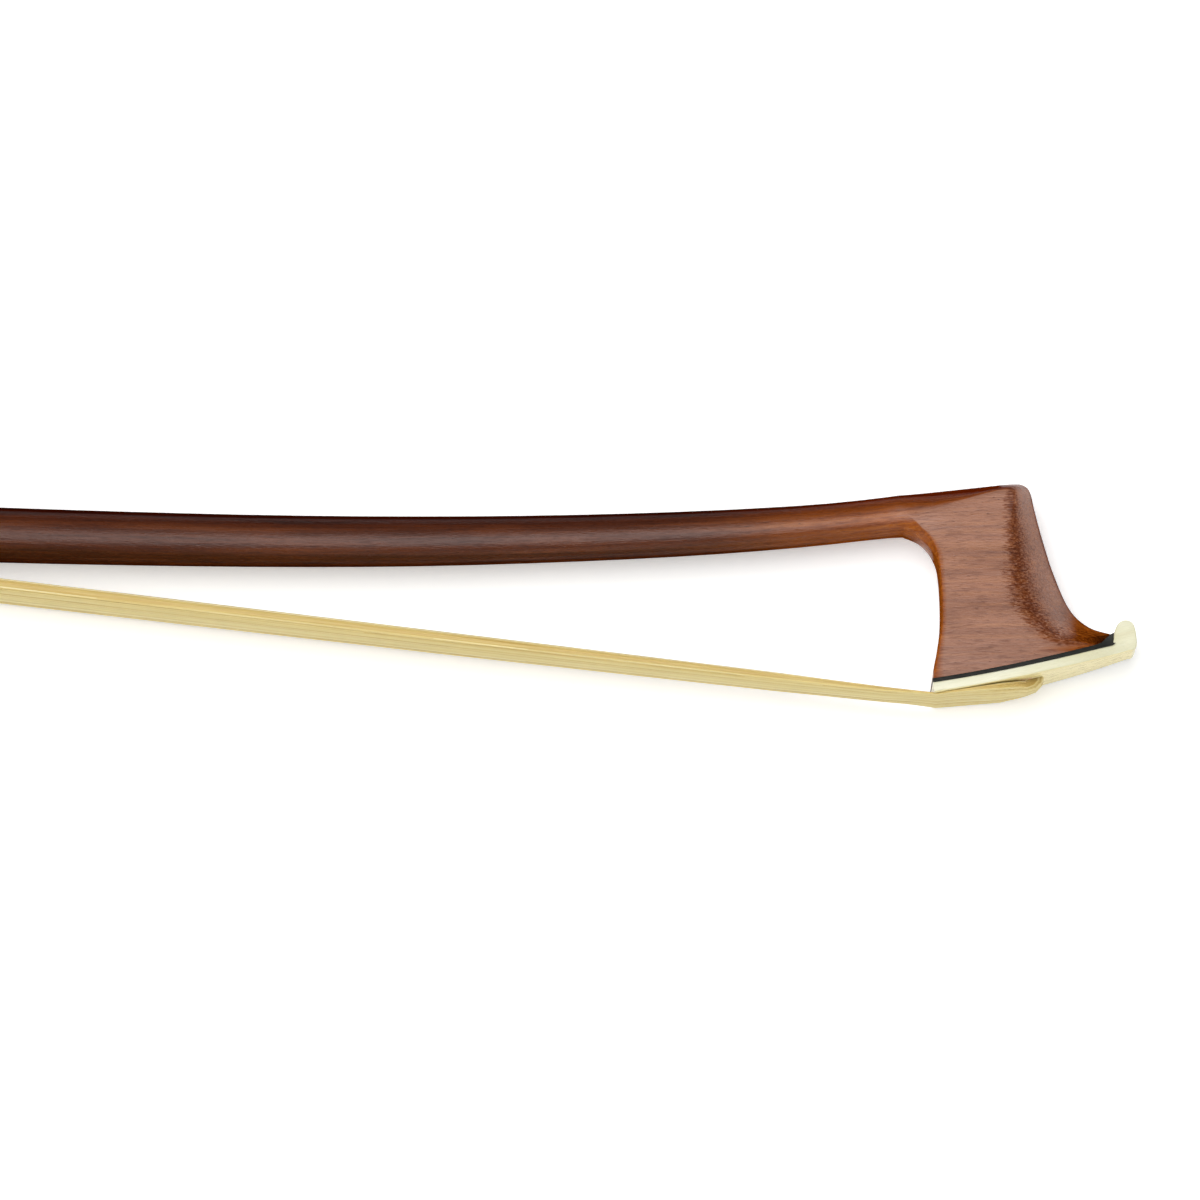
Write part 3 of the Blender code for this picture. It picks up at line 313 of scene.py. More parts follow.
def prism(outline, half_width):
    """Block across the bow from an outline of (x, z) in mm."""
    count = len(outline)
    points = [Vector((x, y, z)) * mm for y in (-half_width, half_width) for x, z in outline]
    faces = [tuple(range(count)), tuple(range(count, 2 * count))]
    faces += [(k, (k + 1) % count, (k + 1) % count + count, k + count) for k in range(count)]
    return skin_of("prism", points, faces)


def rod(sections, sides, unit=1.0):
    """Round bar along x, from sections of (x, radius)."""
    rings = []
    for x, radius in sections:
        circle = [(radius * math.sin(a), radius * math.cos(a)) for a in around(sides)]
        rings.append([Vector((x, y, z)) * unit for y, z in circle])
    return shell("rod", rings)


def bake(thing):
    """Turns what the modifiers make into the piece's own plain mesh."""
    graph = bpy.context.evaluated_depsgraph_get()
    made = bpy.data.meshes.new_from_object(thing.evaluated_get(graph))
    made.name = thing.name
    thing.modifiers.clear()
    thing.data = made


def cut_out(mesh, *cutters):
    """The mesh with other meshes cut out of it."""
    thing = piece("blank", mesh)
    tools = [piece("cutter", cutter) for cutter in cutters]
    for tool in tools:
        step = thing.modifiers.new("cut", "BOOLEAN")
        step.operation = "DIFFERENCE"
        step.solver = "EXACT"
        step.object = tool
    bake(thing)
    left = thing.data
    for done in (thing, *tools):
        bpy.data.objects.remove(done)
    return left


def dressed(name, mesh, material, body, nodes=(), place=None, sharp=30):
    """Finished piece, tied to its body, its finish and the nodes that it stands for."""
    thing = piece(name, mesh, place)
    mesh.name = name
    mesh.shade_smooth()
    mesh.set_sharp_from_angle(angle=math.radians(sharp))
    mesh.materials.clear()
    mesh.materials.append(material)
    if nodes:
        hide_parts(*nodes)
    if body:
        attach(thing, body)
    return thing


def shade(code):
    """Linear colour of an sRGB hex code."""
    parts = [int(code[i : i + 2], 16) / 255 for i in (1, 3, 5)]
    linear = [c / 12.92 if c <= 0.04045 else ((c + 0.055) / 1.055) ** 2.4 for c in parts]
    return (*linear, 1.0)


def grains(x, y, z):
    """Scale of a pattern whose grains measure x, y and z mm."""
    return (1 / (x * mm), 1 / (y * mm), 1 / (z * mm))


def node(tree, kind, *inputs, **named):
    """Adds a node with its settings and links. Unnamed values and names with a capital are inputs,
    other names are settings, and a kind in capitals is the operation of a Math node."""
    if kind.isupper():
        kind, named["operation"] = "Math", kind
    made = tree.nodes.new(kind if "Node" in kind else "ShaderNode" + kind)
    for key in [key for key in named if key[0].islower()]:
        value = named.pop(key)
        if key == "stops":
            marks = made.color_ramp.elements
            while len(marks) < len(value):
                marks.new(0.5)
            for mark, (place, code) in zip(marks, value):
                mark.position = place
                mark.color = shade(code)
        else:
            setattr(made, key, value)
    ready = [socket for socket in made.inputs if socket.enabled]
    for key, value in [*enumerate(inputs), *named.items()]:
        name = str(key).replace("_", " ")
        socket = ready[key] if isinstance(key, int) else next(s for s in ready if s.name == name)
        if isinstance(value, bpy.types.Node):
            value = next(s for s in value.outputs if s.enabled)
        if isinstance(value, bpy.types.NodeSocket):
            tree.links.new(value, socket)
        else:
            socket.default_value = value
    return made


def finish(name, **values):
    """New material, its tree, and its Principled shader with plain values set on its inputs."""
    material = bpy.data.materials.new(name)
    material.use_nodes = True
    shader = material.node_tree.nodes["Principled BSDF"]
    for key, value in values.items():
        shader.inputs[key.replace("_", " ")].default_value = value
    return material, material.node_tree, shader


def connect(shader, colour, relief, strength, depth, **others):
    """Links a colour, a bump from a relief with a depth in mm, and others to the shader."""
    tree = shader.id_data
    bump = node(tree, "Bump", Strength=strength, Distance=depth * mm, Height=relief)
    for name, made in {"Base Color": colour, "Normal": bump, **others}.items():
        out = next(s for s in made.outputs if s.enabled)
        tree.links.new(out, shader.inputs[name.replace("_", " ")])


# French polished pernambuco is orange to red brown, with fine lines along the grain, short dark
# flecks and small open pores; handling has darkened it away from the head. The polish gives it a
# satin sheen that the flecks break up.
wood, tree, shader = finish("french_polished_pernambuco", IOR=1.53)
grain = node(tree, "Attribute", attribute_name="grain").outputs["Vector"]
# Growth lines 25 mm long and 0.5 mm apart, flecks 1.8 mm by 0.25 mm, clouds 12 mm by 2.2 mm and
# pores 0.8 mm by 0.12 mm
patterns = []
for long, wide, detail, rough in (
    (25, 0.5, 4.0, 0.6),
    (1.8, 0.25, 3.0, 0.5),
    (12, 2.2, 2.0, 0.5),
    (0.8, 0.12, 1.0, 0.5),
):
    place = node(tree, "Mapping", Vector=grain, Scale=grains(long, wide, wide))
    noise = node(tree, "TexNoise", Vector=place, Scale=1.0, Detail=detail, Roughness=rough)
    patterns.append(noise)
lines, flecks, clouds, pores = patterns
DARK_UNTIL = 668 * mm
LIGHT_FROM = 696 * mm
from_butt = node(tree, "SeparateXYZ", grain)
smooth = {"interpolation_type": "SMOOTHSTEP"}
towards_head = node(tree, "MapRange", from_butt, DARK_UNTIL, LIGHT_FROM, **smooth)
stops = ((0.30, "#482110"), (0.50, "#5a2b13"), (0.72, "#6f3a1b"))
dark_wood = node(tree, "ValToRGB", lines, stops=stops)
stops = ((0.30, "#8c4511"), (0.50, "#9d5216"), (0.72, "#b0641d"))
light_wood = node(tree, "ValToRGB", lines, stops=stops)
colour = node(tree, "Mix", towards_head, dark_wood, light_wood, data_type="RGBA")
wear_and_painted_light = {}
for name in ("haze", "end_grain", "dark_back", "dull"):
    wear_and_painted_light[name] = node(tree, "Attribute", attribute_name=name).outputs["Fac"]
# Where the cheek turns to the front, end grain drinks the polish and shows as dark wavy strokes
# 0.17 mm by 0.8 mm, with no painted sheen; the rest of the head gets a pinkish grey painted sheen
place = node(tree, "Mapping", Vector=grain, Scale=grains(0.8, 0.17, 0.17))
strokes = node(tree, "TexNoise", Vector=place, Scale=1.0, Detail=2.0, Distortion=0.7)
soaked = node(tree, "MapRange", wear_and_painted_light["end_grain"], 0.0, 0.25)
strokes = node(tree, "MULTIPLY_ADD", strokes, 2.2, -1.1)
strokes = node(tree, "MULTIPLY_ADD", wear_and_painted_light["end_grain"], 0.7, strokes)
strokes = node(tree, "MapRange", strokes, 0.15, 0.75)
soaked = node(tree, "MULTIPLY", soaked, strokes)
clear = node(tree, "SUBTRACT", 1.0, soaked)
# Painted sheen: where the cheeks and the front of the head face the lights, the colour is mixed towards pinkish
# grey
haze = node(tree, "MULTIPLY", wear_and_painted_light["haze"], clear)
haze = node(tree, "MULTIPLY", haze, 0.36)
colour = node(tree, "Mix", haze, colour, shade("#b49a8e"), data_type="RGBA")
# Painted shade darkens the back of the stick, the ridge of the head and a little of its front; the back, the
# ridge, the belly and the toe are dull
darken = {"data_type": "RGBA", "blend_type": "MULTIPLY"}
for amount, pattern, low, high, dark in (
    (soaked, None, 0.0, 1.0, "#a89484"),
    (wear_and_painted_light["dark_back"], None, 0.0, 1.0, "#9c6850"),
    (0.40, clouds, 0.30, 0.62, "#a89488"),
    (0.38, flecks, 0.36, 0.50, "#97786a"),
    (0.60, pores, 0.24, 0.32, "#5a382a"),
):
    marks = shade(dark)
    if pattern:
        marks = node(tree, "ValToRGB", pattern, stops=((low, dark), (high, "#ffffff")))
    colour = node(tree, "Mix", amount, colour, marks, **darken)
satin = node(tree, "MapRange", flecks, 0.3, 0.7, 0.36, 0.24)
sheen = node(tree, "MapRange", wear_and_painted_light["dull"], 0.0, 1.0, 0.5, 0.0)
relief = node(tree, "MULTIPLY_ADD", flecks, 1.0, pores)
connect(shader, colour, relief, 0.8, 0.03, Roughness=satin, Specular_IOR_Level=sheen)

NECK_X = CAMBER[-1][0]
SHAFT_STATIONS = 60
RING = 128
TENON_RADIUS = 3 * mm
TENON_REACH = 1.6 * mm
BUTT_CHAMFER = 0.3 * mm
# Half length, half width and height of the mortise in the head, and the eyelet's slot, all in mm;
# then the screw's bore and pilot hole as start, end and radius
MORTISE_HALF, MORTISE_HALF_WIDTH, MORTISE_HEIGHT = 3.2, 3.0, 8
SLOT_FROM, SLOT_TO, SLOT_TOP, SLOT_HALF_WIDTH = 18, 37.9, 2.6, 2.3
BORE = (-3 * mm, 18.2 * mm, 1.9 * mm)
PILOT_HOLE = (37.7 * mm, 47 * mm, 1.75 * mm)
# Rise of the grain in the head, which levels off over GRAIN_BEND
GRAIN_SLOPE = 0.12
GRAIN_SLOPE_AT_NECK = 0.112
GRAIN_BEND = 6 * mm
# Middle of the band of end grain on each cheek, in mm: x, z, half width
END_GRAIN = (
    (7.2, 26.6, 0.9),
    (7.5, 24.8, 1.5),
    (8.2, 21.5, 2.0),
    (8.9, 18.2, 2.3),
    (9.5, 14.9, 2.6),
    (10.6, 12.5, 2.7),
    (12.1, 10.4, 2.5),
    (14.0, 8.7, 2.0),
    (15.9, 7.9, 1.8),
    (18.3, 8.5, 2.2),
    (20.7, 8.8, 2.2),
)
handle_in_reverse = handle_in_bow.inverted()


def along_stick(p):
    """Place in the wood: distance from the butt along the bent grain, and offsets from the axis."""
    at_handle = handle_in_reverse @ p
    if at_handle.x <= HANDLE_LENGTH:
        return at_handle
    if p.x < NECK_X:
        z, slope = shaft_axis(p.x)
        distance = HANDLE_LENGTH + min(p.x + (p.z - z) * slope, NECK_X) - shaft_start.x
        return stick_frame(distance)[0].inverted() @ p + Vector((distance, 0, 0))
    past = p.x - NECK_X
    rise = GRAIN_SLOPE * past
    rise += GRAIN_SLOPE_AT_NECK * GRAIN_BEND * (1 - math.exp(-past / GRAIN_BEND))
    distance = HANDLE_LENGTH + p.x - shaft_start.x
    return Vector((distance, p.y, p.z - CAMBER[-1][1] - rise))


def end_grain_at(p):
    """1 on the middle of the band of end grain, 0 and less outside it."""
    most = 0.0
    for (x0, z0, w0), (x1, z1, w1) in zip(END_GRAIN, END_GRAIN[1:]):
        start, run = Vector((x0, z0)), Vector((x1 - x0, z1 - z0))
        away = Vector((p.x, p.z)) / mm - start
        t = min(max(away.dot(run) / run.length_squared, 0.0), 1.0)
        most = max(most, 1 - (away - run * t).length / (w0 + (w1 - w0) * t))
    return most


def wear_at(vertex):
    """Painted sheen, end grain, painted shade and dullness at a point of the wood, from how it faces."""
    p, facing, forward = vertex.co, abs(vertex.normal.y), vertex.normal.x
    on_head = ramp(p.x, -9 * mm, -3 * mm)
    ahead = ramp(forward, 0.02, 0.12)
    # Painted sheen where the head faces flat on or to the front, stronger towards the foot
    haze = on_head * max(ramp(facing, 0.93, 0.975), ahead) * ramp(p.x, 17.6 * mm, 15.8 * mm)
    haze *= 1 + 0.3 * ramp(p.z, 14 * mm, 2 * mm)
    back = ramp(vertex.normal.z, 0.15, 0.75) * ramp(p.x, 12 * mm, 6 * mm)
    ridge = ramp(p.x, 8 * mm, 10 * mm) * ramp(abs(p.y), 0.3 * mm, 0.05 * mm) * ahead
    belly = max(ramp(-vertex.normal.z, 0.6, 0.95), ramp(-forward, 0.4, 0.8))
    belly *= ramp(p.x, 3 * mm, 0.5 * mm)
    toe = ramp(p.x, 15.0 * mm, 17.2 * mm)
    # Painted shade on the back of the stick, on the ridge and, a fifth as strong, on the front of the head
    dark = max(back, ridge, 0.2 * on_head * ramp(forward, 0.15, 0.45))
    return haze, on_head * end_grain_at(p), dark, max(back, ridge, belly, toe)


tenon = [(-TENON_RADIUS * math.sin(a), -TENON_RADIUS * math.cos(a)) for a in around(RING)]
rings = [[handle_in_bow @ Vector((x, y, z)) for y, z in tenon] for x in (-TENON_REACH, 0.0)]
distances = [0.0, 0.4 * mm, 30 * mm, 60 * mm, 90 * mm, OCTAGON_END]
distances += [OCTAGON_END + OCTAGON_FADE * t for t in (0.25, 0.5, 0.75, 1.0)]
for k in range(SHAFT_STATIONS):
    share = 1 - (1 - k / SHAFT_STATIONS) ** 1.4
    distances.append(HANDLE_LENGTH + (NECK_X - shaft_start.x) * share)
rings += [stick_ring(d, RING, 0.0 if d else -BUTT_CHAMFER) for d in distances]
cuts = [head_row(i, t / CUT_STEPS) for i in range(len(HEAD_CUTS) - 2) for t in range(CUT_STEPS)]
rings += [head_ring(row, RING) for row in cuts + list(HEAD_CUTS[-2:])]

mortise_x, mortise_z = on_foot(MORTISE_X, 0)
mortise_tilt = math.atan(FOOT_SLOPE + 2 * FOOT_BEND * MORTISE_X)
MORTISE = Matrix.Translation((mortise_x, 0, mortise_z)) @ Matrix.Rotation(-mortise_tilt, 4, "Y")


def hole(start, end, low, high, half_width, place):
    """Cutter for an opening, in mm in the frame of its place."""
    cutter = prism(((start, low), (end, low), (end, high), (start, high)), half_width)
    cutter.transform(place)
    return cutter


mortise_span = (-MORTISE_HALF, MORTISE_HALF, -3, MORTISE_HEIGHT)
cutters = [
    hole(*mortise_span, MORTISE_HALF_WIDTH, MORTISE),
    hole(SLOT_FROM, SLOT_TO, -9, SLOT_TOP, SLOT_HALF_WIDTH, handle_in_bow),
]
for start, end, radius in (BORE, PILOT_HOLE):
    cutters.append(rod(((start, radius), (end, radius)), 32))
    cutters[-1].transform(handle_in_bow)
stick_mesh = cut_out(shell("pernambuco_stick", rings), *cutters)
store(stick_mesh, "grain", [along_stick(vertex.co) for vertex in stick_mesh.vertices])
for name, values in zip(wear_and_painted_light, zip(*(wear_at(vertex) for vertex in stick_mesh.vertices))):
    store(stick_mesh, name, values)
dressed("pernambuco_stick", stick_mesh, wood, "stick", ["stick"], BOW)

# Lining: a strip of black vulcanised fibre glued between head and plate, thin along the foot and
# filled out to a wedge that reaches from the toe of the wood to the beak.
PLATE_TOP = -0.1 * mm
LINING_AT_HEEL = 0.40 * mm
LINING_AT_TOE = 0.45 * mm
LINING_EDGE = 0.05 * mm
PASSAGE_HALF_WIDTH = 1.7
PASSAGE_IN_LINING = 2.3
# The wedge at the toe, in mm: x on the plate, then x and z of its top, and how wide the top is
LINING_WEDGE = (
    (21.0, 20.9, 8.0, 0.97),
    (21.4, 21.25, 8.5, 0.86),
    (21.8, 21.65, 9.1, 0.68),
    (22.2, 22.05, 9.65, 0.5),
    (22.5, 22.4, 9.98, 0.38),
)
LINING_END = ((22.66 * mm, 8.2 * mm), (22.74 * mm, 9.95 * mm), 0.34)


def strip(name, sections, round_by, passage, arc=4, flats=6):
    """Skin along (low, high, share) with points of (x, z), where share is how wide the top is.

    The hair comes out through its passage, which is narrower than the mortise behind it.
    """
    rings = []
    for low, high, share in sections:
        a, b = Vector((low[0], 0, low[1])), Vector((high[0], 0, high[1]))
        height = (b - a).length
        up = (b - a) / height
        half = plate_half_width((a.x + b.x) / 2)
        r = min(round_by, height * 0.45, half * 0.45)
        turns = [math.pi / 2 * k / arc for k in range(arc + 1)]
        quarter = [(half - r + r * math.sin(turn), r - r * math.cos(turn)) for turn in turns]
        side = quarter + [(y, height - v) for y, v in reversed(quarter)]
        flat = [((half - r) * k / flats, 0.0) for k in range(flats)]
        top = [((half - r) * (1 - k / flats), height) for k in range(1, flats + 1)]
        near = [(y * (1 - (1 - share) * v / height), v) for y, v in flat + side + top]
        ring = [a + up * v + Vector((0, -y, 0)) for y, v in near]
        rings.append(ring + [a + up * v + Vector((0, y, 0)) for y, v in near[-2:0:-1]])
    opening = hole(-MORTISE_HALF, passage, -3, 3, PASSAGE_HALF_WIDTH, MORTISE)
    return cut_out(shell(name, rings), opening)


def with_one_pattern(name, size, detail, dark, light, strength, depth, dull=None, **values):
    """Material with one pattern, its grain in mm, in its colour, its relief and its dullness."""
    material, tree, shader = finish(name, **values)
    here = node(tree, "TexCoord").outputs["Object"]
    place = node(tree, "Mapping", Vector=here, Scale=grains(*size))
    pattern = node(tree, "TexNoise", Vector=place, Scale=1.0, Detail=detail)
    colour = node(tree, "ValToRGB", pattern, stops=((0.3, dark), (0.7, light)))
    others = {"Roughness": node(tree, "MapRange", pattern, 0.3, 0.7, *dull)} if dull else {}
    connect(shader, colour, pattern, strength, depth, **others)
    return material


# Pressed paper fibres 0.15 mm wide and 1.2 mm long, dyed black, hardly glossy
values = {"Roughness": 0.5, "IOR": 1.5, "Specular_IOR_Level": 0.3}
colours = ("#151613", "#272824")
size = (1.2, 0.15, 0.15)
fibre = with_one_pattern("black_vulcanised_fibre", size, 3.0, *colours, 0.3, 0.01, **values)

foot = [k * 0.5 * mm for k in range(42)]
sections = []
for x in foot:
    seam = LINING_AT_HEEL + (LINING_AT_TOE - LINING_AT_HEEL) * (x / foot[-1]) ** 2
    sections.append((on_foot(x, PLATE_TOP), on_foot(x, seam), 1.0))
for low_x, x, z, share in LINING_WEDGE:
    sections.append((on_foot(low_x * mm, PLATE_TOP), (x * mm, z * mm), share))
mesh = strip("black_lining", [*sections, LINING_END], LINING_EDGE, PASSAGE_IN_LINING)
dressed("black_lining", mesh, fibre, "stick", ["head_lining"], BOW)

# Tip plate: bone sawn to 1.4 mm, bent to the foot, glued over the lining, and filed at the toe to
# an upturned beak. Polished; its edges are eased by hand.
PLATE_THICKNESS = 1.4 * mm
PLATE_EDGE = 0.26 * mm
PASSAGE_IN_PLATE = 2.2
# The beak, in mm: x and z of its outer face, then of its inner face; no z means on the plate
BEAK = (
    (21.6, None, 21.2, None),
    (22.5, None, 21.8, None),
    (23.3, None, 22.3, None),
    (24.0, None, 22.44, 8.9),
    (25.0, 7.62, 22.41, 9.2),
    (25.3, 7.85, 22.4, 9.5),
    (25.44, 8.25, 22.42, 9.8),
    (25.42, 8.75, 22.47, 10.1),
    (25.32, 9.35, 22.55, 10.4),
    (25.18, 9.95, 22.66, 10.68),
    (25.03, 10.45, 22.8, 10.93),
    (24.83, 10.92, 22.98, 11.14),
    (24.57, 11.24, 23.22, 11.3),
    (24.2, 11.41, 23.55, 11.42),
)

# Polished bone is cream, with a yellower painted shade underneath, soft growth bands 1.6 mm wide
# and short vessel marks 0.12 mm wide that run along the plate and dull its gloss
bone, tree, shader = finish("polished_bone", IOR=1.54)
here = node(tree, "TexCoord").outputs["Object"]
run = BOW.to_3x3() @ Vector((1, 0, FOOT_SLOPE + 2 * FOOT_BEND * MORTISE_X))
turn = -math.atan2(run.y, run.x)
along = node(tree, "VectorRotate", Vector=here, Angle=turn, rotation_type="Z_AXIS")
place = node(tree, "Mapping", Vector=along, Scale=grains(14, 1.6, 1.6))
bands = node(tree, "TexNoise", Vector=place, Scale=1.0, Detail=3.0, Distortion=0.4)
place = node(tree, "Mapping", Vector=along, Scale=grains(2.2, 0.12, 0.12))
vessels = node(tree, "TexNoise", Vector=place, Scale=1.0, Detail=2.0)
stops = ((0.3, "#e2ddb8"), (0.5, "#e9e6c5"), (0.7, "#efedd4"))
cream = node(tree, "ValToRGB", bands, stops=stops)
painted_shade_below = node(tree, "Attribute", attribute_name="underside").outputs["Fac"]
cream = node(tree, "Mix", painted_shade_below, cream, shade("#ecdc97"), data_type="RGBA")
marks = node(tree, "ValToRGB", vessels, stops=((0.3, "#cdbb86"), (0.42, "#ffffff")))
cream = node(tree, "Mix", 0.2, cream, marks, **darken)
gloss = node(tree, "MapRange", vessels, 0.3, 0.6, 0.38, 0.26)
connect(shader, cream, vessels, 0.05, 0.01, Roughness=gloss)

sections = [(on_foot(x, -PLATE_THICKNESS), on_foot(x, PLATE_TOP), 1.0) for x in foot]
for low_x, low_z, top_x, top_z in BEAK:
    low = (low_x * mm, low_z * mm) if low_z else on_foot(low_x * mm, -PLATE_THICKNESS)
    top = (top_x * mm, top_z * mm) if top_z else on_foot(top_x * mm, PLATE_TOP)
    sections.append((low, top, 1.0))
mesh = strip("bone_tip_plate", sections, PLATE_EDGE, PASSAGE_IN_PLATE)
# Painted shade: the faces that turn downwards are tinted a darker yellow
store(mesh, "underside", [0.9 * ramp(-v.normal.z, 0.55, 0.85) for v in mesh.vertices])
dressed("bone_tip_plate", mesh, bone, "stick", ["tip_plate"], BOW)

# Inside the head: a maple plug wedges the hair against the front of the mortise, and the knot at
# the hair's end, bound with waxed thread and sealed, lies above it.
KNOT_THREAD = 0.3 * mm
KNOT_END = 0.72
KNOT_CORE = 0.97

# Cut maple is pale and dull, with growth rings 0.7 mm apart and the short flecks of its rays
maple, tree, shader = finish("cut_maple", Roughness=0.6, IOR=1.5)
here = node(tree, "TexCoord").outputs["Object"]
place = node(tree, "Mapping", Vector=here, Scale=grains(9, 0.7, 0.7))
growth = node(tree, "TexNoise", Vector=place, Scale=1.0, Detail=3.0)
place = node(tree, "Mapping", Vector=here, Scale=grains(0.8, 0.12, 0.3))
rays = node(tree, "TexNoise", Vector=place, Scale=1.0, Detail=2.0)
pale = node(tree, "ValToRGB", growth, stops=((0.3, "#c9a877"), (0.7, "#dcc196")))
marks = node(tree, "ValToRGB", rays, stops=((0.3, "#a98a63"), (0.42, "#ffffff")))
pale = node(tree, "Mix", 0.5, pale, marks, **darken)
connect(shader, pale, rays, 0.3, 0.02)
frame["nodes"]["tip_plug"].data.materials.clear()
frame["nodes"]["tip_plug"].data.materials.append(maple)

# Linen thread drawn over wax: brown, dull, its twist 0.12 mm fine
values = {"Roughness": 0.65, "IOR": 1.5}
colours = ("#5d3f26", "#8a6540")
size = (0.12, 0.12, 0.12)
thread = with_one_pattern("waxed_linen_thread", size, 2.0, *colours, 0.5, 0.03, **values)


def geometry_tree(name, **kinds):
    """New geometry tree with an input for each name, and the outputs of its input node."""
    tree = bpy.data.node_groups.new(name, "GeometryNodeTree")
    for way in ("INPUT", "OUTPUT"):
        tree.interface.new_socket("Geometry", in_out=way, socket_type="NodeSocketGeometry")
    for key, kind in kinds.items():
        tree.interface.new_socket(key, in_out="INPUT", socket_type="NodeSocket" + kind)
    return tree, node(tree, "NodeGroupInput").outputs


def end_tree(tree, geometry, material):
    whole = node(tree, "GeometryNodeRealizeInstances", Geometry=geometry)
    done = node(tree, "GeometryNodeSetMaterial", Geometry=whole, Material=material)
    node(tree, "NodeGroupOutput", Geometry=done)


def rail(name, points, **values):
    """Line of points, with a vector or a number stored on each for every name."""
    mesh = bpy.data.meshes.new(name)
    mesh.from_pydata(points, [(k, k + 1) for k in range(len(points) - 1)], [])
    for key, stored in values.items():
        store(mesh, key, stored)
    return piece(name, mesh)


def grown(thing, tree, **values):
    """Runs a geometry tree on a piece and gives the plain mesh that it makes."""
    sockets = [socket for socket in tree.interface.items_tree if socket.in_out == "INPUT"]
    identifiers = {socket.name: socket.identifier for socket in sockets}
    step = thing.modifiers.new(tree.name, "NODES")
    step.node_group = tree
    for key, value in values.items():
        step[identifiers[key]] = value
    bake(thing)
    mesh = thing.data
    bpy.data.objects.remove(thing)
    return mesh


# Winding: thread or wire laid round a rail with its turns side by side. On each point of the rail
# "up" and "side" reach to the middle of the wire, and "flats" is 1 where the core is octagonal.
kinds = {"Turns": "Float", "Wire": "Float", "Steps": "Int", "Sides": "Int", "Material": "Material"}
winding, given = geometry_tree("winding", **kinds)
line = node(winding, "GeometryNodeMeshToCurve", Mesh=given["Geometry"])
line = node(winding, "GeometryNodeResampleCurve", Curve=line, Count=given["Steps"])
along = node(winding, "GeometryNodeSplineParameter").outputs["Factor"]
angle = node(winding, "MULTIPLY", along, given["Turns"])
angle = node(winding, "MULTIPLY", angle, 2 * math.pi)
eighth = math.pi / 4
from_flat = angle
for operation, value in (("ADD", eighth / 2), ("MODULO", eighth), ("SUBTRACT", eighth / 2)):
    from_flat = node(winding, operation, from_flat, value)
corner = node(winding, "DIVIDE", 1.0, node(winding, "COSINE", from_flat))
corner = node(winding, "MINIMUM", corner, OCTAGON_CORNER)
corner = node(winding, "SUBTRACT", corner, 1.0)
flats = node(winding, "GeometryNodeInputNamedAttribute", Name="flats", data_type="FLOAT")
bulge = node(winding, "MULTIPLY_ADD", corner, flats, 1.0)
as_vector = {"data_type": "FLOAT_VECTOR"}
arms = []
for name, wave in (("up", "COSINE"), ("side", "SINE")):
    arm = node(winding, "GeometryNodeInputNamedAttribute", Name=name, **as_vector)
    share = node(winding, wave, angle)
    share = node(winding, "MULTIPLY", share, bulge)
    arms.append(node(winding, "VectorMath", arm, Scale=share, operation="SCALE"))
out = node(winding, "VectorMath", *arms, operation="ADD")
coil = node(winding, "GeometryNodeSetPosition", Geometry=line, Offset=out)
half = node(winding, "MULTIPLY", given["Wire"], 0.5)
circle = {"Resolution": given["Sides"], "Radius": half}
circle = node(winding, "GeometryNodeCurvePrimitiveCircle", **circle)
swept = {"Curve": coil, "Profile_Curve": circle, "Fill_Caps": True}
end_tree(winding, node(winding, "GeometryNodeCurveToMesh", **swept), given["Material"])


def wound(name, stations, turns, wire, per_turn, sides, material):
    """Mesh of a coil round stations of (centre, up, side, flats)."""
    centres, ups, across, flats = zip(*stations)
    line = rail(name, centres, up=ups, side=across, flats=flats)
    values = {"Turns": turns, "Wire": wire, "Steps": int(turns * per_turn), "Sides": sides}
    return grown(line, winding, **values, Material=material)


def joined(mesh, other):
    both = bmesh.new()
    both.from_mesh(mesh)
    both.from_mesh(other)
    both.to_mesh(mesh)
    both.free()
    return mesh


def bound_knot(name, place, length, radius, body, stands_for):
    """Hair end with thread wound round it, over a core that fills the coil."""
    turn, count = place.to_3x3(), 25
    stations, rings = [], []
    for k in range(count):
        t = k / (count - 1)
        swell = (1 - KNOT_END) * math.sin(math.pi * t) ** 0.5
        reach = radius * (KNOT_END + swell) - KNOT_THREAD / 2
        centre = place @ Vector((0, (t - 0.5) * (length - KNOT_THREAD), 0))
        up, side = turn @ Vector((0, 0, reach)), turn @ Vector((reach, 0, 0))
        stations.append((centre, up, side, 0.0))
        core = [(up * math.cos(a) + side * math.sin(a)) * KNOT_CORE for a in around(24)]
        rings.append([centre + out for out in core])
    coil = wound(name, stations, length / KNOT_THREAD - 1, KNOT_THREAD * 1.1, 20, 6, thread)
    mesh = joined(coil, shell(name, rings))
    dressed(name, mesh, thread, body, [stands_for])


tip_knot_place = BOW @ MORTISE @ Matrix.Translation((1.35 * mm, 0, 6.3 * mm))
bound_knot("bound_tip_knot", tip_knot_place, 5 * mm, 1.3 * mm, "stick", "tip_knot")

# Hair: about 170 bleached horsehairs in a flat ribbon. They come out of the plate round a full
# knee, lie against its heel, and run to the frog, where the wedge in the ferrule spreads them.
HAIR_COUNT = 170
HAIR_DIAMETER = 0.2 * mm
HAIR_WANDER = 0.10
RIBBON_POWER = 5.0
CORE_INSET = 0.6 * HAIR_DIAMETER
CORE_SIDES = 40
WANDER_LENGTH = 45 * mm
APART = 300.0
UNDER_PLATE = 0.03
# Rows of the ribbon at the knee, in the mortise frame, in mm: x, z, half width, thickness
KNEE = (
    (1.50, 4.70, 1.90, 1.2),
    (1.45, 1.50, 1.70, 1.7),
    (1.32, -0.20, 1.40, 2.2),
    (1.28, -0.95, 1.35, 2.4),
    (1.08, -1.45, 1.40, 2.4),
    (0.62, -1.85, 1.60, 2.1),
    (-0.15, -2.08, 2.10, 1.65),
    (-1.20, -2.10, 3.50, 1.35),
)
# Under the head: place along the foot, half width, thickness
UNDER_HEAD = (
    (8.2, 4.6, 1.2),
    (6.4, 4.85, 0.9),
    (4.2, 4.9, 0.56),
    (1.8, 4.8, 0.3),
    (0.4, 4.5, 0.22),
)
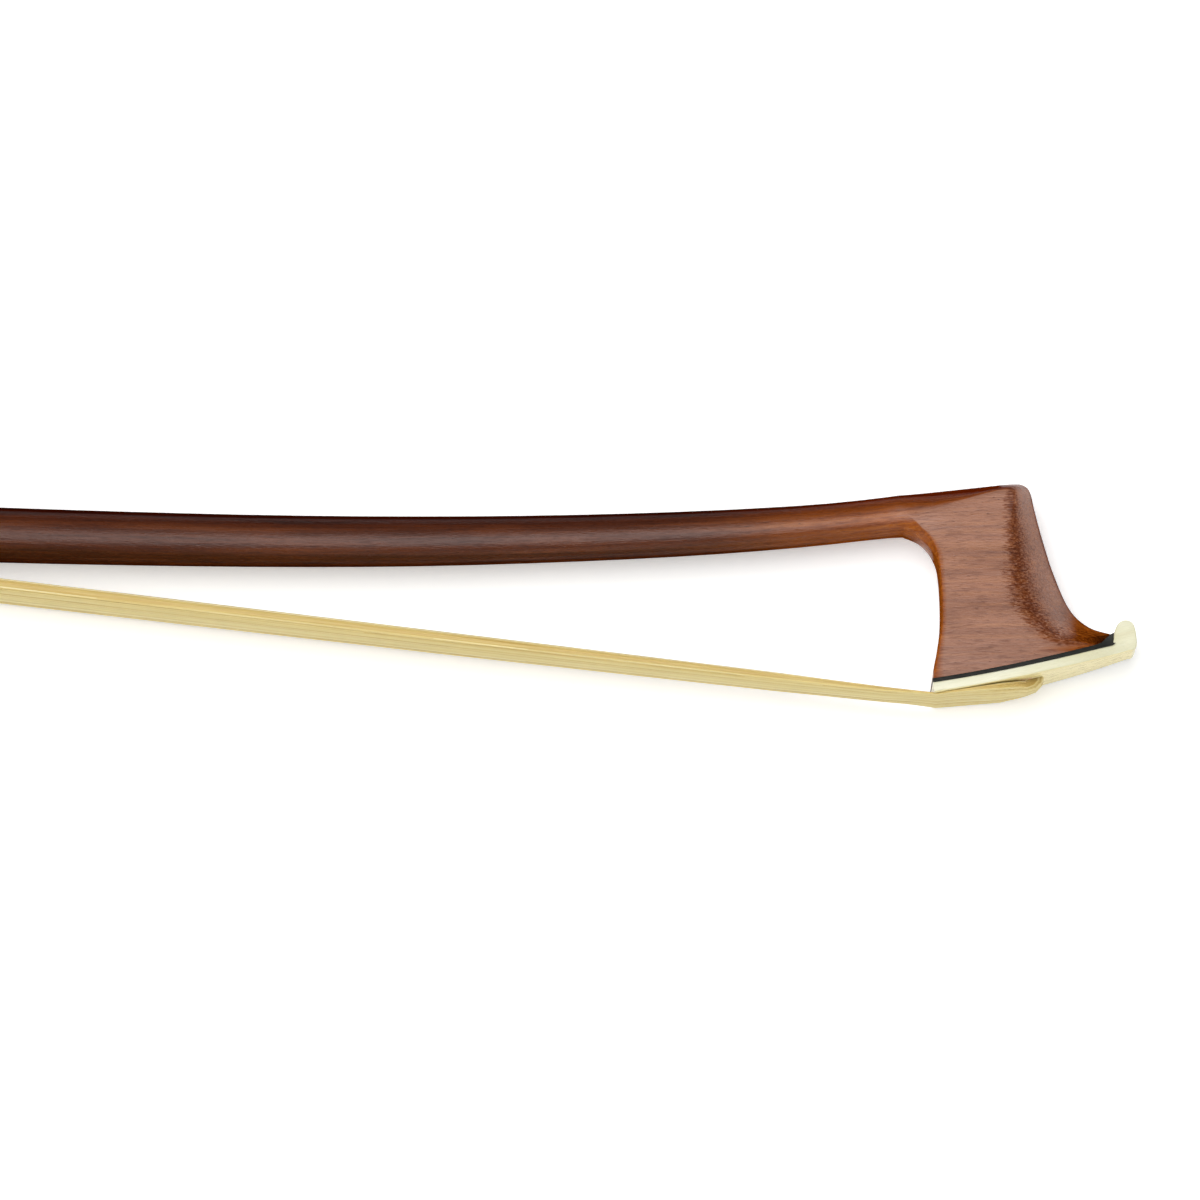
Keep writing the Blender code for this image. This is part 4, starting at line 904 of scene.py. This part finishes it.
# Open run: bow x, z, half width, thickness
OPEN_RUN = (
    (-1.4, -1.36, 4.1, 0.34),
    (-3.2, -1.37, 3.85, 0.52),
    (-6.0, -1.43, 3.75, 0.75),
    (-20.0, -1.47, 4.0, 1.3),
    (-60.0, -1.6, 4.5, 1.7),
    (-120.0, -1.7, 5.2, 1.85),
    (-300.0, -1.65, 5.6, 1.4),
)
# At the frog, in the handle frame: through the ferrule, over the wedge and up into the mortise
AT_FROG = (
    (66.0, -20.3, 5.7, 0.7),
    (52.0, -20.8, 5.7, 0.5),
    (43.8, -20.8, 5.6, 0.5),
    (42.7, -20.6, 5.2, 0.5),
    (41.4, -20.05, 4.3, 0.55),
    (40.2, -20.05, 4.3, 0.55),
    (34.6, -20.05, 4.3, 0.55),
    (33.65, -19.93, 4.0, 0.6),
    (33.32, -19.6, 4.0, 0.6),
    (33.2, -19.15, 4.0, 0.6),
    (33.15, -16.3, 3.7, 0.7),
)
SEEN_AT_FROG = 4
under_head = []
for x, half_width, thickness in UNDER_HEAD:
    centre = on_foot(x * mm, -PLATE_THICKNESS - (UNDER_PLATE + thickness / 2) * mm)
    under_head.append((Vector((centre[0], 0, centre[1])), half_width * mm, thickness * mm))
hair_rows = []
for place, rows in ((MORTISE, KNEE), (Matrix(), OPEN_RUN), (handle_in_bow, AT_FROG)):
    for x, z, half_width, thickness in rows:
        centre = place @ (Vector((x, 0, z)) * mm)
        hair_rows.append((centre, half_width * mm, thickness * mm))
hair_rows[len(KNEE) : len(KNEE)] = under_head


def closely(rows, longest):
    """Rows with more of them put between, no further apart than longest."""
    spaced = [rows[0]]
    for (p0, w0, t0), (p1, w1, t1) in zip(rows, rows[1:]):
        parts = max(1, math.ceil((p1 - p0).length / longest))
        for k in range(1, parts + 1):
            f = k / parts
            spaced.append((p0.lerp(p1, f), w0 + (w1 - w0) * f, t0 + (t1 - t0) * f))
    return spaced


def ribbon_vectors(rows):
    """Half width and half thickness of the ribbon as vectors on each row."""
    across, through = [], []
    for i, (centre, half_width, thickness) in enumerate(rows):
        ahead, behind = rows[min(i + 1, len(rows) - 1)][0], rows[max(i - 1, 0)][0]
        run = (ahead - behind).normalized()
        across.append(Vector((0, half_width, 0)))
        through.append(Vector((run.z, 0, -run.x)) * thickness / 2)
    return across, through


# Bleached horsehair is cream to straw yellow and glossy along its length. Each hair keeps its own
# tint; the finer streaks, 0.16 mm wide and 90 mm long, are shade between the hairs
horsehair, tree, shader = finish("bleached_horsehair", Roughness=0.38, IOR=1.55)
here = node(tree, "TexCoord").outputs["Object"]
place = node(tree, "Mapping", Vector=here, Scale=grains(90, 0.16, 0.16))
streaks = node(tree, "TexNoise", Vector=place, Scale=1.0, Detail=3.0)
own = node(tree, "Attribute", attribute_name="hair").outputs["Fac"]
tint = node(tree, "MULTIPLY", streaks, 0.4)
tint = node(tree, "MULTIPLY_ADD", own, 0.6, tint)
stops = ((0.12, "#c8a658"), (0.35, "#e8d28a"), (0.6, "#f4e3a2"), (0.85, "#f9efc6"))
connect(shader, node(tree, "ValToRGB", tint, stops=stops), streaks, 0.5, 0.05)

# Strands: hairs that follow the rail, spread round the ribbon's section and wandering a little.
# Each seed point stores its place across, its place through, and its own tint, which also sets
# its way of wandering APART from its neighbour's.
kinds = {"Hairs": "Int", "Diameter": "Float", "Wander": "Float", "Material": "Material"}
strands, given = geometry_tree("strands", **kinds)
line = node(strands, "GeometryNodeMeshToCurve", Mesh=given["Geometry"])
seeds = node(strands, "GeometryNodePoints", Count=given["Hairs"])
number = node(strands, "GeometryNodeInputIndex")
chance = node(strands, "FunctionNodeRandomValue", Seed=7, data_type="FLOAT")
own = node(strands, "FunctionNodeRandomValue", Seed=23, data_type="FLOAT")
depth = node(strands, "FunctionNodeRandomValue", Min=0.80, Max=0.97, Seed=41, data_type="FLOAT")
share = node(strands, "ADD", number, chance)
share = node(strands, "DIVIDE", share, given["Hairs"])
y = node(strands, "FRACT", node(strands, "MULTIPLY", share, 2.0))
y = node(strands, "MULTIPLY_ADD", y, 1.94, -0.97)
face = node(strands, "SIGN", node(strands, "SUBTRACT", share, 0.5))
z = node(strands, "POWER", node(strands, "ABSOLUTE", y), RIBBON_POWER)
z = node(strands, "SQRT", node(strands, "SUBTRACT", 1.0, z))
for value in (face, depth):
    z = node(strands, "MULTIPLY", z, value)
lane = {"Name": "lane", "Value": node(strands, "CombineXYZ", y, z, own)}
kept = node(strands, "GeometryNodeStoreNamedAttribute", Geometry=seeds, **lane, **as_vector)
many = node(strands, "GeometryNodeInstanceOnPoints", Points=kept, Instance=line)
many = node(strands, "GeometryNodeRealizeInstances", Geometry=many)
read = {}
for name in ("lane", "across", "through"):
    read[name] = node(strands, "GeometryNodeInputNamedAttribute", Name=name, **as_vector)
parts = node(strands, "SeparateXYZ", read["lane"]).outputs
length = node(strands, "GeometryNodeSplineParameter").outputs["Length"]
drift = node(strands, "MULTIPLY", length, 1 / WANDER_LENGTH)
drift = node(strands, "CombineXYZ", drift, node(strands, "MULTIPLY", parts[2], APART))
drift = node(strands, "TexNoise", Vector=drift, Scale=1.0, Detail=1.0)
drift = node(strands, "SUBTRACT", drift, 0.5)
y = node(strands, "MULTIPLY_ADD", drift, given["Wander"], parts[0])
y = node(strands, "Clamp", Value=y, Min=-0.985, Max=0.985)
sideways = node(strands, "VectorMath", read["across"], Scale=y, operation="SCALE")
outwards = node(strands, "VectorMath", read["through"], Scale=parts[1], operation="SCALE")
out = node(strands, "VectorMath", sideways, outwards, operation="ADD")
lanes = node(strands, "GeometryNodeSetPosition", Geometry=many, Offset=out)
tint = {"Geometry": lanes, "Name": "hair", "Value": parts[2], "data_type": "FLOAT"}
lanes = node(strands, "GeometryNodeStoreNamedAttribute", **tint)
half = node(strands, "MULTIPLY", given["Diameter"], 0.5)
thin = node(strands, "GeometryNodeCurvePrimitiveCircle", Resolution=5, Radius=half)
swept = {"Curve": lanes, "Profile_Curve": thin, "Fill_Caps": True}
end_tree(strands, node(strands, "GeometryNodeCurveToMesh", **swept), given["Material"])

hidden = len(AT_FROG) - SEEN_AT_FROG
seen_rows = closely(hair_rows[1:-hidden], 10 * mm)
across, through = ribbon_vectors(seen_rows)
line = rail("horsehairs", [row[0] for row in seen_rows], across=across, through=through)
values = {"Hairs": HAIR_COUNT, "Diameter": HAIR_DIAMETER, "Wander": HAIR_WANDER}
hairs_mesh = grown(line, strands, **values, Material=horsehair)

core_rows = closely(hair_rows, 12 * mm)
across, through = ribbon_vectors(core_rows)
rings = []
for (centre, half_width, thickness), side, out in zip(core_rows, across, through):
    wide = 1 - CORE_INSET / half_width
    high = 1 - CORE_INSET / (thickness / 2) * min(1.0, thickness / (0.6 * mm))
    ring = []
    for k, a in enumerate(around(CORE_SIDES)):
        y = math.copysign(abs(math.cos(a)) ** 0.6, math.cos(a)) * wide
        z = math.copysign(max(1 - abs(y) ** RIBBON_POWER, 0.0) ** 0.5, math.sin(a)) * high
        ring.append(centre + side * y + out * (0.0 if k in (0, CORE_SIDES // 2) else z))
    rings.append(ring)
bundle_mesh = shell("hair_bundle", rings)
for name, mesh in (("horsehairs", hairs_mesh), ("hair_bundle", bundle_mesh)):
    thing = dressed(name, mesh, horsehair, None, ["hair"], BOW, 80)
    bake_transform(thing)

# Thumb grip: a strip of thin black goatskin, skived at its ends and glued round the handle in front
# of the frog. Its edges overlap in a low seam on the far side.
GRIP = (55 * mm, 78 * mm)
GRIP_THICKNESS = 0.95 * mm
GRIP_END = 0.3 * mm
GRIP_TAPER = 4.5 * mm
GRIP_STEPS = 96
SEAM_PROUD = 0.05 * mm
SEAM_AT = 0.72 * math.pi
SEAM_FADE = 0.1 * math.pi
GLUE = 0.02 * mm

# Black goatskin has a pebbled grain, about 0.7 mm, with fine creases between the pebbles, painted
# darker as shade, that stay dull while the tops are polished by the thumb
leather, tree, shader = finish("black_goatskin", IOR=1.5)
here = node(tree, "TexCoord").outputs["Object"]
place = node(tree, "Mapping", Vector=here, Scale=grains(0.75, 0.6, 0.6))
warp = node(tree, "TexNoise", Vector=place, Scale=1.5, Detail=2.0).outputs["Color"]
warp = node(tree, "VectorMath", place, warp, operation="ADD")
pebbles = node(tree, "TexVoronoi", Vector=warp, Scale=1.0, feature="DISTANCE_TO_EDGE")
crease = node(tree, "MapRange", pebbles, 0.0, 0.22)
stops = ((0.0, "#0b0908"), (0.6, "#1d1815"), (1.0, "#2c2520"))
black_and_painted_crease_shade = node(tree, "ValToRGB", crease, stops=stops)
polish = node(tree, "MapRange", crease, 0.0, 1.0, 0.62, 0.42)
connect(shader, black_and_painted_crease_shade, crease, 0.8, 0.06, Roughness=polish)

outside, inside = [], []
for along in steps_from(*GRIP, GRIP_STEPS):
    from_end = min(along - GRIP[0], GRIP[1] - along)
    rise = math.sin(math.pi / 2 * min(from_end / GRIP_TAPER, 1.0)) ** 0.8
    thickness = GRIP_END + (GRIP_THICKNESS - SEAM_PROUD - GRIP_END) * rise
    axis = stick_frame(along)[0].translation
    ring = []
    for turn, p in zip(around(RING), stick_ring(along, RING, thickness)):
        past_seam = (turn - SEAM_AT) / SEAM_FADE
        proud = max(0.0, 1 - past_seam) if past_seam >= 0 else 0.0
        ring.append(p + (p - axis).normalized() * SEAM_PROUD * proud)
    outside.append(ring)
    inside.append(stick_ring(along, RING, GLUE))
grip_mesh = shell("leather_thumb_grip", outside + inside[::-1], closed=True)
dressed("leather_thumb_grip", grip_mesh, leather, "stick", ["thumb_grip"], BOW, 50)

# Lapping: one length of silver wire, 0.38 mm thick, wound tight round the handle from the grip
# forwards over a bed of glue, about 195 turns, its ends soldered flat.
LAPPING = (78.3 * mm, 153 * mm)
LAPPING_WIRE = 0.38 * mm
LAPPING_RISE = 0.41 * mm
LAPPING_STATIONS = 60

# Silver is pale and warm; handling leaves hairline scratches and a faint grey tarnish in clouds
# 3 mm wide. The scratches are drawn 0.08 mm wide, far coarser than real, so that they show.
silver, tree, shader = finish("polished_sterling_silver", Metallic=1.0)
here = node(tree, "TexCoord").outputs["Object"]
place = node(tree, "Mapping", Vector=here, Scale=grains(3, 3, 3))
tarnish = node(tree, "TexNoise", Vector=place, Scale=1.0, Detail=4.0)
place = node(tree, "Mapping", Vector=here, Scale=grains(2.5, 0.08, 0.08))
scratches = node(tree, "TexNoise", Vector=place, Scale=1.0, Detail=2.0)
stops = ((0.3, "#c2beb5"), (0.5, "#cfccc4"), (0.7, "#d9d7d0"))
grey = node(tree, "ValToRGB", tarnish, stops=stops)
dull = node(tree, "MULTIPLY", tarnish, scratches)
dull = node(tree, "MapRange", dull, 0.15, 0.4, 0.27, 0.2)
connect(shader, grey, scratches, 0.12, 0.01, Roughness=dull)

half_wire = LAPPING_WIRE / 2
stations, cores = [], []
for along in steps_from(LAPPING[0] + half_wire, LAPPING[1] - half_wire, LAPPING_STATIONS):
    axis, diameter = stick_frame(along)
    reach, turn = diameter / 2 + LAPPING_RISE - half_wire, axis.to_3x3()
    up, side = turn @ Vector((0, 0, -reach)), turn @ Vector((0, -reach, 0))
    stations.append((axis.translation, up, side, float(flats_at(along))))
    cores.append(stick_ring(along, RING, LAPPING_RISE - half_wire))
inner = [stick_ring(along, RING, GLUE) for along in steps_from(*LAPPING, LAPPING_STATIONS)]
lapping_turns = (LAPPING[1] - LAPPING[0]) / LAPPING_WIRE - 1
coil = wound("silver_lapping", stations, lapping_turns, LAPPING_WIRE, 32, 6, silver)
dressed("silver_lapping", coil, silver, "stick", ["winding"], BOW, 80)
bed_mesh = shell("lapping_bed", cores + inner[::-1], closed=True)
dressed("lapping_bed", bed_mesh, silver, "stick", (), BOW, 50)

# Frog: a block of ebony with the hollow for the thumb, cut and filed, its edges eased and the whole
# polished. It slides on the handle, guided by the eyelet in its back.


def eased(name, stands_for, material, body, edge, grow=0.0, corner=30):
    """CAD solid with its edges eased, finished, and tied to what it stands for; sizes in mm."""
    skin = bmesh.new()
    skin.from_mesh(frame["nodes"][stands_for].data)
    bmesh.ops.remove_doubles(skin, verts=skin.verts, dist=0.002 * mm)
    bmesh.ops.dissolve_limit(skin, angle_limit=math.radians(1), verts=skin.verts, edges=skin.edges)
    skin.normal_update()
    for vertex in skin.verts:
        vertex.co += vertex.normal * (grow * mm)
    mesh = bpy.data.meshes.new(name)
    skin.to_mesh(mesh)
    skin.free()
    thing = piece(name, mesh)
    step = thing.modifiers.new("eased edges", "BEVEL")
    step.width = edge * mm
    step.segments = 3
    step.limit_method = "ANGLE"
    step.angle_limit = math.radians(corner)
    bake(thing)
    mesh = thing.data
    bpy.data.objects.remove(thing)
    return dressed(name, mesh, material, body, [stands_for], None, corner)


# Ebony is near black with a brown cast, very fine grained: its pores are hairlines 0.1 mm wide and
# 1.5 mm long, and the polish leaves a close satin gloss
ebony, tree, shader = finish("polished_ebony", IOR=1.53)
here = node(tree, "TexCoord").outputs["Object"]
place = node(tree, "Mapping", Vector=here, Scale=grains(18, 0.7, 0.7))
stripes = node(tree, "TexNoise", Vector=place, Scale=1.0, Detail=4.0)
place = node(tree, "Mapping", Vector=here, Scale=grains(1.5, 0.1, 0.1))
pores = node(tree, "TexNoise", Vector=place, Scale=1.0, Detail=2.0)
stops = ((0.3, "#0d0a08"), (0.55, "#17110d"), (0.75, "#261a12"))
dark = node(tree, "ValToRGB", stripes, stops=stops)
gloss = node(tree, "MapRange", pores, 0.3, 0.6, 0.46, 0.26)
connect(shader, dark, pores, 0.25, 0.02, Roughness=gloss)
eased("ebony_frog", "frog_body", ebony, "frog", 0.18)

# Inside the frog: the knot at the hair's other end in its mortise, wedged with a maple plug, and
# the broad maple wedge that spreads the ribbon in the ferrule.
frog_knot_place = HANDLE @ Matrix.Translation((31.9 * mm, 0, -14.9 * mm))
bound_knot("bound_frog_knot", frog_knot_place, 7.8 * mm, 1.4 * mm, "frog", "frog_knot")
for name in ("frog_plug", "hair_wedge"):
    eased("maple_" + name, name, maple, "frog", 0.08)

# Silver of the frog: the D-shaped ferrule that holds the ribbon flat, the channel that rides on
# the stick, and the plate bent round back and heel, held by two pins. Sawn from sheet and filed.
for name, edge in (("ferrule", 0.14), ("underslide", 0.08), ("heel_plate", 0.14)):
    eased("silver_" + name, name, silver, "frog", edge)

PIN_RADIUS = 0.55 * mm
PIN_PROUD = 0.16 * mm
PIN_PLACES = ((6.0, 0.0, -9.4), (6.0, 0.0, -17.6))

# Pins: a low dome on every point, set square to the plate
kinds = {"Radius": "Float", "Proud": "Float", "Axis": "Vector", "Material": "Material"}
pins, given = geometry_tree("pins", **kinds)
dots = node(pins, "GeometryNodeMeshToPoints", Mesh=given["Geometry"])
ball = node(pins, "GeometryNodeMeshUVSphere", Segments=24, Rings=12, Radius=given["Radius"])
low = node(pins, "DIVIDE", given["Proud"], given["Radius"])
low = node(pins, "CombineXYZ", 1.0, 1.0, low)
square = node(pins, "FunctionNodeAlignRotationToVector", Vector=given["Axis"], axis="Z")
domes = {"Points": dots, "Instance": ball, "Rotation": square, "Scale": low}
end_tree(pins, node(pins, "GeometryNodeInstanceOnPoints", **domes), given["Material"])
points = rail("heel_plate_pins", [HANDLE @ (Vector(p) * mm) for p in PIN_PLACES])
values = {"Radius": PIN_RADIUS, "Proud": PIN_PROUD, "Axis": (-handle_x)[:]}
pin_mesh = grown(points, pins, **values, Material=silver)
dressed("heel_plate_pins", pin_mesh, silver, "frog", (), None, 60)

# Pearl slide and eyes: the slide is mother-of-pearl glued to a dovetailed silver strip that runs
# in a groove under the frog; a pearl eye inside a silver ring is let into each cheek of the frog.

# Mother-of-pearl is white with clouds of pale green and rose 4 mm wide and wavy growth lines
# about 0.6 mm apart; it is polished and a little see-through
gloss = {"Roughness": 0.16, "Coat_Weight": 0.4, "Coat_Roughness": 0.08}
pearl, tree, shader = finish("mother_of_pearl", IOR=1.53, **gloss)
here = node(tree, "TexCoord").outputs["Object"]
place = node(tree, "Mapping", Vector=here, Scale=grains(7.0, 4.0, 4.0))
play = node(tree, "TexNoise", Vector=place, Scale=1.0, Detail=2.0, Distortion=1.2)
place = node(tree, "Mapping", Vector=here, Scale=grains(4.0, 0.6, 0.6))
layers = node(tree, "TexNoise", Vector=place, Scale=1.0, Detail=2.0, Distortion=1.0)
stops = ((0.3, "#dbe5de"), (0.44, "#ebe9e3"), (0.53, "#ece1e2"))
stops += ((0.62, "#e1e6e8"), (0.75, "#dae2d8"))
white = node(tree, "ValToRGB", play, stops=stops)
stops = ((0.35, "#c9cfcb"), (0.5, "#ffffff"), (0.62, "#e9dfe0"))
white = node(tree, "Mix", 0.4, white, node(tree, "ValToRGB", layers, stops=stops), **darken)
connect(shader, white, layers, 0.1, 0.02)
eased("pearl_slide_face", "pearl_slide", pearl, "frog", 0.06)
eased("silver_slide_backing", "slide_backing", silver, "frog", 0.04)
for side in ("left", "right"):
    eased("pearl_eye_" + side, "eye_" + side, pearl, "frog", 0.06, 0.06)
    eased("silver_eye_ring_" + side, "eye_ring_" + side, silver, "frog", 0.05, 0.05)

# Eyelet: a brass nut on a threaded stem, turned and drilled, screwed into the back of the frog.
# Turned brass is warm yellow with fine tool rings, drawn 0.12 mm apart so that they show.
TOOL_RINGS = (0.12, 1.5, 1.5)
values = {"dull": (0.42, 0.3), "Metallic": 1.0}
colours = ("#a07c3e", "#c9a55c")
brass = with_one_pattern("turned_brass", TOOL_RINGS, 2.0, *colours, 0.3, 0.01, **values)
eased("brass_eyelet", "eyelet", brass, "frog", 0.1)

# Screw: steel rod turned to a plain shank and cut with a fine thread, 0.75 mm a turn, that runs in
# the eyelet. Its rear end is driven into the button. Turned steel is cool grey, with tool rings.
THREAD_PITCH = 0.75 * mm
THREAD_FROM, THREAD_TO = 17.2 * mm, 44.4 * mm
THREAD_CORE = 1.2 * mm
THREAD_OUTSIDE = 1.44 * mm
SHANK = ((-14.5, 1.3), (-14.2, 1.6), (16.0, 1.6), (16.5, 1.2), (44.6, 1.2), (45.0, 0.9))
values = {"dull": (0.4, 0.28), "Metallic": 1.0}
colours = ("#7d7e80", "#a3a4a6")
steel = with_one_pattern("turned_steel", TOOL_RINGS, 2.0, *colours, 0.3, 0.01, **values)
ridge = (THREAD_OUTSIDE - THREAD_CORE) * 2
reach = THREAD_OUTSIDE - ridge / 2
thread_turns = (THREAD_TO - THREAD_FROM) / THREAD_PITCH
up, side = Vector((0, 0, reach)), Vector((0, reach, 0))
centres = [Vector((x, 0, 0)) for x in steps_from(THREAD_FROM, THREAD_TO, 40)]
stations = [(centre, up, side, 0.0) for centre in centres]
ridge_mesh = wound("steel_screw", stations, thread_turns, ridge, 28, 4, steel)
screw_mesh = joined(ridge_mesh, rod(SHANK, 48, mm))
dressed("steel_screw", screw_mesh, steel, "screw", ["screw"], HANDLE)

# Button: an ebony core between two silver rings, all octagonal and turned slightly hollow, with a
# pearl eye let into the end. The screw is driven through it.
eased("ebony_button_core", "button_core", ebony, "screw", 0.14)
for end in ("front", "rear"):
    eased("silver_button_" + end, f"button_{end}_ring", silver, "screw", 0.14)
eased("pearl_button_eye", "button_eye", pearl, "screw", 0.06)

# Camera: a long lens over the head of the bow. It takes in about the last 150 mm of the bow, and
# the edge of the picture cuts the rest off beyond the neck.
LENS = 209.625
CAMERA_AWAY = 0.9
CAMERA_AIM = Vector((-10, 0, 5)) * mm
CAMERA_LIFT = math.radians(12.0)
CAMERA_TURNS = ((2.146, "Y"), (0.093, "X"), (6.796, "Z"))
camera = piece("camera", bpy.data.cameras.new("camera"))
camera.data.lens = LENS
camera.data.sensor_width = 36.0
camera.data.clip_end = 100.0
out = Vector((0, -math.cos(CAMERA_LIFT), -math.sin(CAMERA_LIFT)))
view, up = -out, Vector((0, -math.sin(CAMERA_LIFT), math.cos(CAMERA_LIFT)))
basis = Matrix((view.cross(up), up, -view)).transposed()
for degrees, axis in CAMERA_TURNS:
    basis = basis @ Matrix.Rotation(math.radians(degrees), 3, axis)
stand = basis.to_4x4()
stand.translation = CAMERA_AIM + out * CAMERA_AWAY
camera.matrix_world = BOW @ stand
bpy.context.scene.camera = camera

# Table: matt white laminate, softly mottled over 60 mm. What the camera and the gloss see of it is
# lifted to white, which keeps the shadows.
TABLE_RADIUS = 30
TABLE_LIFT = 0.4
laminate, tree, shader = finish("matt_white_laminate", Roughness=0.7, Specular_IOR_Level=0.2)
here = node(tree, "TexCoord").outputs["Object"]
place = node(tree, "Mapping", Vector=here, Scale=grains(60, 60, 60))
mottle = node(tree, "TexNoise", Vector=place, Scale=1.0, Detail=2.0)
white = node(tree, "ValToRGB", mottle, stops=((0.3, "#f3f3f3"), (0.7, "#f6f6f6")))
tree.links.new(white.outputs[0], shader.inputs["Base Color"])
shader.inputs["Emission Color"].default_value = (1.0, 1.0, 1.0, 1.0)
rays = node(tree, "LightPath").outputs
seen = node(tree, "MAXIMUM", rays["Is Camera Ray"], rays["Is Glossy Ray"])
seen = node(tree, "MAXIMUM", seen, rays["Is Transmission Ray"])
glow = node(tree, "MULTIPLY", seen, TABLE_LIFT)
tree.links.new(glow.outputs[0], shader.inputs["Emission Strength"])
table_mesh = bpy.data.meshes.new("table")
corners = [(TABLE_RADIUS * math.cos(a), TABLE_RADIUS * math.sin(a), 0) for a in around(64)]
table_mesh.from_pydata(corners, [], [tuple(range(64))])
table_mesh.materials.append(laminate)
piece("table", table_mesh)

# Lights: the softbox overhead gives the sheen, and the key, further to the left, the light and the
# soft shadows
SOFTBOX_AWAY = 5.0
SOFTBOX_WIDE = math.radians(30)
SOFTBOX_DEEP = math.radians(46)
SOFTBOX_RADIANCE = 2.35
SOFTBOX_TURNS = ((11, "Y"), (9, "X"))
KEY_FROM = Vector((-0.32, 0.20, 1.0))
KEY_WIDE = math.radians(62)
KEY_STRENGTH = 2.75
softbox = bpy.data.lights.new("softbox", "AREA")
softbox.shape = "RECTANGLE"
softbox.size = 2 * SOFTBOX_AWAY * math.tan(SOFTBOX_WIDE / 2)
softbox.size_y = 2 * SOFTBOX_AWAY * math.tan(SOFTBOX_DEEP / 2)
softbox.energy = SOFTBOX_RADIANCE * math.pi * softbox.size * softbox.size_y
hung = piece("softbox", softbox)
place = Matrix()
for degrees, axis in SOFTBOX_TURNS:
    place = place @ Matrix.Rotation(math.radians(degrees), 4, axis)
hung.matrix_world = place @ Matrix.Translation((0, 0, SOFTBOX_AWAY))
hung.visible_camera = False
hung.visible_diffuse = False

key = bpy.data.lights.new("key", "SUN")
key.angle = KEY_WIDE
key.energy = KEY_STRENGTH
hung = piece("key", key)
hung.rotation_euler = KEY_FROM.to_track_quat("Z", "Y").to_euler()
hung.visible_glossy = False

# The room is dim, with low white screens round the table on the side of the hair and of the head
ROOM = 0.12
world = bpy.data.worlds.new("studio")
world.use_nodes = True
bpy.context.scene.world = world
tree = world.node_tree
towards = node(tree, "TexCoord").outputs["Generated"]
towards = node(tree, "SeparateXYZ", towards).outputs
screens = 0.0
for side, low, high, strength in ((towards[1], -0.1, -0.7, 1.7), (towards[0], 0.3, 0.85, 1.1)):
    screen = node(tree, "MapRange", side, low, high, 0.0, strength, **smooth)
    screens = node(tree, "ADD", screen, screens)
height = node(tree, "MapRange", towards[2], 0.15, 0.45, 1.0, 0.0, **smooth)
walls = node(tree, "MULTIPLY_ADD", screens, height, ROOM)
background = tree.nodes["Background"]
background.inputs["Color"].default_value = (1.0, 1.0, 1.0, 1.0)
tree.links.new(walls.outputs[0], background.inputs["Strength"])
bpy.context.scene.view_settings.view_transform = "Standard"
